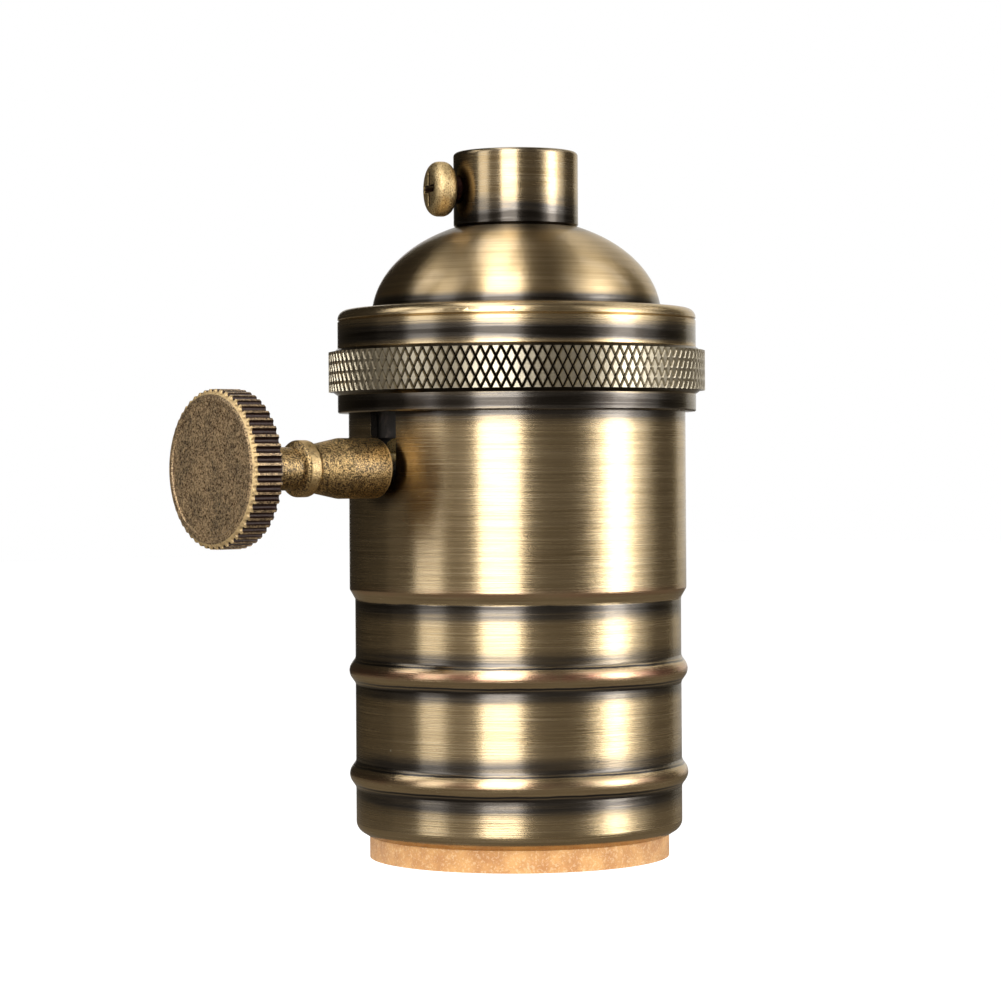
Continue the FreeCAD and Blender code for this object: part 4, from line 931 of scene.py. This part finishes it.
@dataclass
class OuterShell:
    """Barrel, knurled collar, dome cap and neck: the brass that shows."""

    effects: Effects
    bead_levels: Tuple[float, float] = (6.35, 17.3)
    bead_above: float = 1.35
    bead_below: float = 1.4
    bead_edge: float = 1.02
    step_level: float = 24.85
    inner_shade_radius: float = 17.82
    key_axis: Axis = (-1.0, 0.0, 0.0)
    knurl: Knurl = Knurl(19.08, 19.64, 19.88)
    screw_turn: float = 20.0
    screw_shank: float = 7.1
    screw_face: float = 8.0
    screw_end: float = 9.55
    recess_reach: float = 1.85
    bore_radius: float = 4.46 * MM
    thread_pitch: float = 1.0 * MM
    thread_depth: float = 0.5 * MM
    thread_length: float = 9.0 * MM
    thread_start: float = 0.3 * MM
    thread_seat: float = 0.02 * MM
    thread_steps: Tuple[int, int] = (96, 10)

    def build(self) -> Sequence[str]:
        """Dress the shell's nodes and add the thread.

        Returns:
            The names of the pieces.
        """
        return [*self.dress_barrel(), *self.dress_cover(), *self.dress_neck(),
                self.neck_thread().name]

    def dress_barrel(self) -> Sequence[str]:
        """Darken the barrel with patina and painted shade beside its step and beads and under
        the collar, and paint shade round the key's hole and on the inner wall.

        Returns:
            The barrel's name.
        """
        low, high = self.bead_levels
        step, above, below = self.step_level, self.bead_above, self.bead_below
        # patina with painted shade: bands beside the step and beads, thin lines at the beads'
        # edges, and painted shade under the collar's lip
        edges = tuple(Shade(bead + side, 0.2, 0.2) for bead in (high, low)
                      for side in (self.bead_edge, -self.bead_edge))
        under_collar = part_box("knurled_collar")[0][2] / MM + 0.2
        return dress(["barrel"], SpunBrass("barrel_brass", patina_and_shade=(
            Shade(step - 0.3, 0.3, 2.5, 0.84),
            Shade(high + above, 2.2, 0.4, 0.66), Shade(high - below, 0.4, 2.0, 0.82),
            Shade(low + above, 2.4, 0.4, 0.72), Shade(low - below, 0.4, 2.9, 0.82),
            *edges, Shade(under_collar, 0.5, 2.4, 0.8),
        ), copper=(
            Shade(high + 0.2, 0.8, 0.7, 0.95), Shade(low + 0.2, 0.7, 0.6, 0.4),
            Shade(step + 0.9, 0.9, 0.4, 0.45),
        # painted shade on the inner wall, seen through the slot
        ), inner_shade=InnerShade(self.inner_shade_radius, step + 1.0),
            # painted shadow of the knob's stem round the key's hole
            hole_shade=HoleShade(self.key_axis, middle("knob").z, 3.0, 5.0, 0.8)).make(self.effects))

    def dress_cover(self) -> Sequence[str]:
        """Darken the collar's lip and waist, and the dome where it meets its neighbours, with
        patina and painted shade.

        Returns:
            The names of the collar and dome.
        """
        low, high = (corner[2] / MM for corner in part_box("knurled_collar"))
        lip, waist = low + 0.9, high - 3.4
        collar = SpunBrass("collar_brass", patina_and_shade=(
            Shade(lip, 1.9, 1.9), Shade(waist, 2.0, 1.15), Shade(waist + 1.3, 0.12, 0.12, 0.5),
        ), knurl=self.knurl)
        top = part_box("dome_cap")[1][2] / MM
        # patina with painted shade where the dome meets the collar and the neck
        dome = SpunBrass("dome_brass", patina_and_shade=(
            Shade(high + 0.05, 1.5, 1.2), Shade(top, 0.3, 1.6, 0.5),
        ), pale=rgb(0.56, 0.42, 0.24), roughness=0.28, stretch=0.93, contrast=0.9)
        return [*dress(["knurled_collar"], collar.make(self.effects)),
                *dress(["dome_cap"], dome.make(self.effects))]

    def dress_neck(self) -> Sequence[str]:
        """Darken the neck towards its foot and at its rim with patina and painted shade, and
        paint shade in the clamp screw's recess, on its shank and round its hole.

        Returns:
            The names of the neck and screw.
        """
        level, turn = middle("neck_screw").z, math.radians(self.screw_turn)
        axis = (-math.cos(turn), math.sin(turn), 0.0)
        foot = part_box("dome_cap")[1][2] / MM
        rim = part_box("neck_bushing")[1][2] / MM - 0.05
        neck = SpunBrass("neck_brass", patina_and_shade=(
            Shade(foot, 4.6, 0.6), Shade(rim, 0.3, 0.8, 0.35),
        ), pale=rgb(0.42, 0.33, 0.205), contrast=1.0, line_pitch=0.11,
            # painted shade round the clamp screw's hole
            hole_shade=HoleShade(axis, level, 2.2, 4.2))
        screw = CastBronze(
            "clamp_screw_bronze", axis=axis, level=level,
            # painted shade in the head's recess and on the shank between the head and the neck
            hollow_and_shade=(Zone(self.screw_face, self.screw_end, -1.0, self.recess_reach),
                    Zone(3.0, self.screw_shank, -1.0, 1.6)),
            dark=rgb(0.46, 0.32, 0.15), umber=rgb(0.40, 0.27, 0.12), gold=rgb(0.68, 0.52, 0.27),
            roughness=0.22, metal=0.95, fleck=0.15)
        return [*dress(["neck_bushing"], neck.make(self.effects)),
                *dress(["neck_screw"], screw.make(self.effects))]

    def neck_thread(self) -> bpy.types.Object:
        """Build the thread in the neck: radius is a triangle wave of level less turn.

        Returns:
            The new object.
        """
        steps, per_turn = self.thread_steps
        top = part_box("neck_bushing")[1][2] - self.thread_start
        rows = int(self.thread_length / self.thread_pitch * per_turn)
        level = np.linspace(top - self.thread_length, top, rows)[:, None]
        turn = np.arange(steps)[None, :] / steps
        phase = (level / self.thread_pitch - turn) % 1.0
        crest = 1.0 - np.abs(phase * 2.0 - 1.0)
        fade = np.clip(np.minimum(level - level[0], top - level) / self.thread_pitch, 0.0, 1.0)
        inner = self.bore_radius - self.thread_depth * crest * fade
        outer = np.full_like(inner, self.bore_radius + self.thread_seat)
        levels = np.broadcast_to(level, inner.shape)
        profile = np.concatenate([np.stack([outer, levels], -1),
                                  np.stack([inner, levels], -1)[::-1]])
        made = swept_ring("neck_thread", profile, steps,
                          Metal.THREAD_BRASS.value.make(self.effects))
        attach(made, "holder")
        return made


@dataclass
class Key:
    """Knob, stem and the switch parts that turn with it; the bead starts from the stem's end."""

    effects: Effects
    axis: Axis = (-1.0, 0.0, 0.0)
    stem_length: float = 13.0
    stem_reach: float = 3.3
    rim_radius: float = 7.42
    rim_depth: float = 0.62
    flute_root: float = 7.3
    flute_tip: float = 7.88
    flute_end: float = 3.9
    bead: Zone = Zone(8.8, 9.9, 2.7, 3.2)

    def build(self) -> Sequence[str]:
        """Dress the turning parts.

        Returns:
            The names of the pieces.
        """
        low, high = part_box("knob")
        face, start = -low[0] / MM, -high[0] / MM
        bronze = CastBronze(
            "knob_bronze_worn", axis=self.axis, level=middle("knob").z,
            worn=(Zone(face - self.rim_depth, face + 0.2, self.rim_radius, 8.2, 0.08),
                  Zone(start + self.bead.start, start + self.bead.end, self.bead.inner,
                       self.bead.outer),
                  Zone(start - 0.2, start + 0.3, 2.75, self.stem_reach)),
            hollow_and_shade=(Zone(face - self.flute_end, face - 0.65, self.flute_root,
                         self.flute_tip, 0.08),),
            bare=(Zone(start, start + self.stem_length, 1.0, self.stem_reach),))
        return [*dress(["knob"], bronze.make(self.effects)),
                *dress(["switch_shaft", "block_screw_far", "block_screw_near",
                        "neutral_terminal_screw"], Metal.PLATED_STEEL.value.make(self.effects))]


@dataclass
class LampSocket:
    """Fibre sleeve, screw shell and the contacts behind it."""

    effects: Effects

    def build(self) -> Sequence[str]:
        """Dress the socket's parts.

        Returns:
            The names of the pieces.
        """
        finishes = (
            (Metal.ROLLED_BRASS.value, ["screw_shell", "centre_rivet", "shell_rivet_neutral",
                                        "shell_rivet_plain", "shaft_bushing"]),
            (Metal.CONTACT_BRASS.value, ["centre_tongue", "centre_riser", "live_terminal",
                                         "neutral_strip", "contact_ring"]),
            (Metal.SCREW_BRASS.value, ["live_terminal_screw"]),
            (Metal.SPRING_STEEL.value, ["detent_spring", "shaft_clip"]),
            (Phenolic("black_phenolic_moulded"), ["contact_base", "switch_block",
                                                  "switch_rotor"]),
            (FibrePaper("fibre_paper_tan"), ["insulating_sleeve", "cavity_cover"]))
        return [name for finish, names in finishes
                for name in dress(names, finish.make(self.effects))]


# ---- Studio -------------------------------------------------------------------------
@dataclass(frozen=True)
class Softbox:
    """A flat lamp: turn from the camera's side, lift, reach, size and brightness."""

    name: str
    turn: float
    lift: float
    reach: float
    width: float
    height: float
    glow: float


@dataclass(frozen=True)
class Flag:
    """A dark curved card between two turns from the camera's side, of one grey tone."""

    name: str
    start: float
    end: float
    tone: float


@dataclass
class Studio:
    """Camera, soft lamps, dark cards, floor and background."""

    azimuth: float = -39.0
    eye_level: float = 39.2 * MM
    distance: float = 0.335
    lens: float = 113.2
    shift: Tuple[float, float] = (-0.0168, -0.038)
    roll: float = -0.35
    nearest: float = 10 * MM
    floor_level: float = -0.075
    floor_reach: float = 3.0
    floor_tones: Tuple[Colour, Colour] = (rgb(0.86, 0.86, 0.85), rgb(0.9, 0.9, 0.9))
    floor_glow: float = 0.6
    fill: float = 0.45
    card_radius: float = 0.75
    card_height: float = 1.2
    card_steps: int = 24
    card_tint: Colour = rgb(1.0, 0.9, 0.78)
    lid_tone: float = 0.13
    base_tone: float = 0.22
    boxes: Tuple[Softbox, ...] = (
        Softbox("front_box", -12.0, 20.0, 0.7, 0.36, 1.4, 5.2),
        Softbox("front_top", -100.0, 80.0, 0.7, 0.7, 0.20, 3.0),
        Softbox("right_box", 70.5, 6.0, 0.6, 0.18, 0.40, 6.4),
        Softbox("right_fill", 73.0, 12.0, 0.7, 0.50, 0.9, 0.9),
        Softbox("right_top", 112.0, 44.0, 0.7, 0.12, 0.40, 2.4),
        Softbox("left_box", -62.0, 4.0, 0.6, 0.20, 0.9, 1.25),
        Softbox("left_top", -92.0, 38.0, 0.7, 0.20, 0.30, 2.6),
    )
    flags: Tuple[Flag, ...] = (
        Flag("flag_left_back", -168.0, -98.0, 0.04), Flag("flag_left", -98.0, -73.0, 0.11),
        Flag("flag_left_front", -50.0, -27.0, 0.30), Flag("flag_right_front", 4.0, 50.0, 0.13),
        Flag("flag_right_back", 100.0, 138.0, 0.12),
    )

    def heading(self, turn: float, lift: float = 0.0) -> Vector:
        """Work out a direction from the object.

        Args:
            turn: degrees round from the camera's side.
            lift: degrees up from level.

        Returns:
            The unit direction.
        """
        around, up = math.radians(self.azimuth + turn), math.radians(lift)
        return Vector((math.sin(around) * math.cos(up), -math.cos(around) * math.cos(up),
                       math.sin(up)))

    def place_camera(self) -> None:
        """Put the camera at eye level with the knob, level apart from a slight roll."""
        camera = bpy.data.objects.new("camera", bpy.data.cameras.new("camera"))
        bpy.context.scene.collection.objects.link(camera)
        camera.data.lens = self.lens
        camera.data.shift_x, camera.data.shift_y = self.shift
        camera.data.clip_start = self.nearest
        out = self.heading(0.0)
        camera.location = out * self.distance + Vector((0.0, 0.0, self.eye_level))
        look = (-out).to_track_quat("-Z", "Y").to_matrix()
        camera.rotation_euler = (look @ Matrix.Rotation(math.radians(self.roll), 3, "Z")
                                 ).to_euler()
        bpy.context.scene.camera = camera

    def hang_boxes(self) -> None:
        """Hang each softbox facing the object, its power worked out from its brightness."""
        aim = Vector((0.0, 0.0, self.eye_level))
        for box in self.boxes:
            lamp = bpy.data.lights.new(box.name, "AREA")
            lamp.shape, lamp.size, lamp.size_y = "RECTANGLE", box.width, box.height
            lamp.energy = box.glow * math.pi * box.width * box.height
            made = bpy.data.objects.new(box.name, lamp)
            bpy.context.scene.collection.objects.link(made)
            out = self.heading(box.turn, box.lift)
            made.location = aim + out * box.reach
            made.rotation_euler = out.to_track_quat("Z", "Y").to_euler()
            made.visible_camera = False

    def card(self, name: str, points: np.ndarray, tone: float) -> None:
        """Make a grey card that only reflections see.

        Args:
            name: its name.
            points: its grid of points.
            tone: how bright it is.
        """
        glow = rgb(*(tone * part for part in self.card_tint[:3]))
        sheet = Sheet(name + "_felt", {"Base Color": rgb(0.0, 0.0, 0.0), "Roughness": 1.0,
                                       "Specular IOR Level": 0.0, "Emission Strength": 1.0,
                                       "Emission Color": glow})
        made = piece(name, points, grid_faces(*points.shape[:2], False), sheet.material)
        made.visible_camera = made.visible_diffuse = made.visible_shadow = False

    def stand_flags(self) -> None:
        """Stand the cards: a grid of turn and level on a cylinder, a lid and a base."""
        for flag in self.flags:
            turns = np.linspace(flag.start, flag.end, self.card_steps)[None, :]
            turn = np.radians(turns + self.azimuth)
            level = np.linspace(self.floor_level, self.card_height, 2)[:, None]
            points = np.stack(np.broadcast_arrays(
                np.sin(turn) * self.card_radius, -np.cos(turn) * self.card_radius, level), -1)
            self.card(flag.name, points, flag.tone)
        edge = np.linspace(-self.card_radius, self.card_radius, 2)
        across, along = np.meshgrid(edge, edge)
        for name, level, tone in (("flag_lid", self.card_height, self.lid_tone),
                                  ("flag_base", self.floor_level + 2 * MM, self.base_tone)):
            self.card(name, np.stack([across, along, np.full_like(across, level)], -1), tone)

    def lay_floor(self) -> None:
        """Lay the pale floor, which is clear from below."""
        sheet = Sheet("floor_white", {"Roughness": 0.9, "Emission Color": WHITE})
        tree = sheet.tree
        fine = add(tree, "ShaderNodeTexNoise", {"Vector": sheet.place, "Scale": 0.02})
        seen = add(tree, "ShaderNodeLightPath").outputs["Is Camera Ray"]
        behind = add(tree, "ShaderNodeNewGeometry").outputs["Backfacing"]
        sheet.feed(Base_Color=blend(tree, fine.outputs[0], *self.floor_tones),
                   Emission_Strength=times(tree, seen, self.floor_glow),
                   Alpha=less(tree, 1.0, behind))
        edge = np.linspace(-self.floor_reach, self.floor_reach, 2)
        across, along = np.meshgrid(edge, edge)
        points = np.stack([across, along, np.full_like(across, self.floor_level)], -1)
        piece("floor", points, grid_faces(2, 2, False), sheet.material)

    def light_world(self) -> None:
        """Make the background white where it is seen, and a plain soft fill elsewhere."""
        world = bpy.data.worlds.new("studio_air")
        bpy.context.scene.world = world
        world.use_nodes = True
        tree = world.node_tree
        tree.nodes.clear()
        path = add(tree, "ShaderNodeLightPath").outputs
        seen = highest(tree, [path["Is Camera Ray"], path["Is Glossy Ray"],
                              path["Is Transmission Ray"]])
        strength = ramp(tree, seen, 0.0, 1.0, self.fill, 1.0)
        glow = add(tree, "ShaderNodeBackground", {"Color": WHITE, "Strength": strength})
        add(tree, "ShaderNodeOutputWorld", {"Surface": glow.outputs[0]})

    def build(self) -> None:
        """Set up the whole studio, camera first."""
        self.place_camera()
        self.hang_boxes()
        self.stand_flags()
        self.lay_floor()
        self.light_world()
        bpy.context.scene.view_settings.view_transform = "Standard"


def main() -> None:
    """Build the studio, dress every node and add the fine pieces."""
    logging.basicConfig(level=logging.INFO, format="%(message)s")
    Studio().build()
    effects = Effects()
    for maker in (OuterShell(effects), Key(effects), LampSocket(effects)):
        for name in maker.build():
            LOG.info("%s: %s", type(maker).__name__, name)


if __name__ == "__main__":
    main()
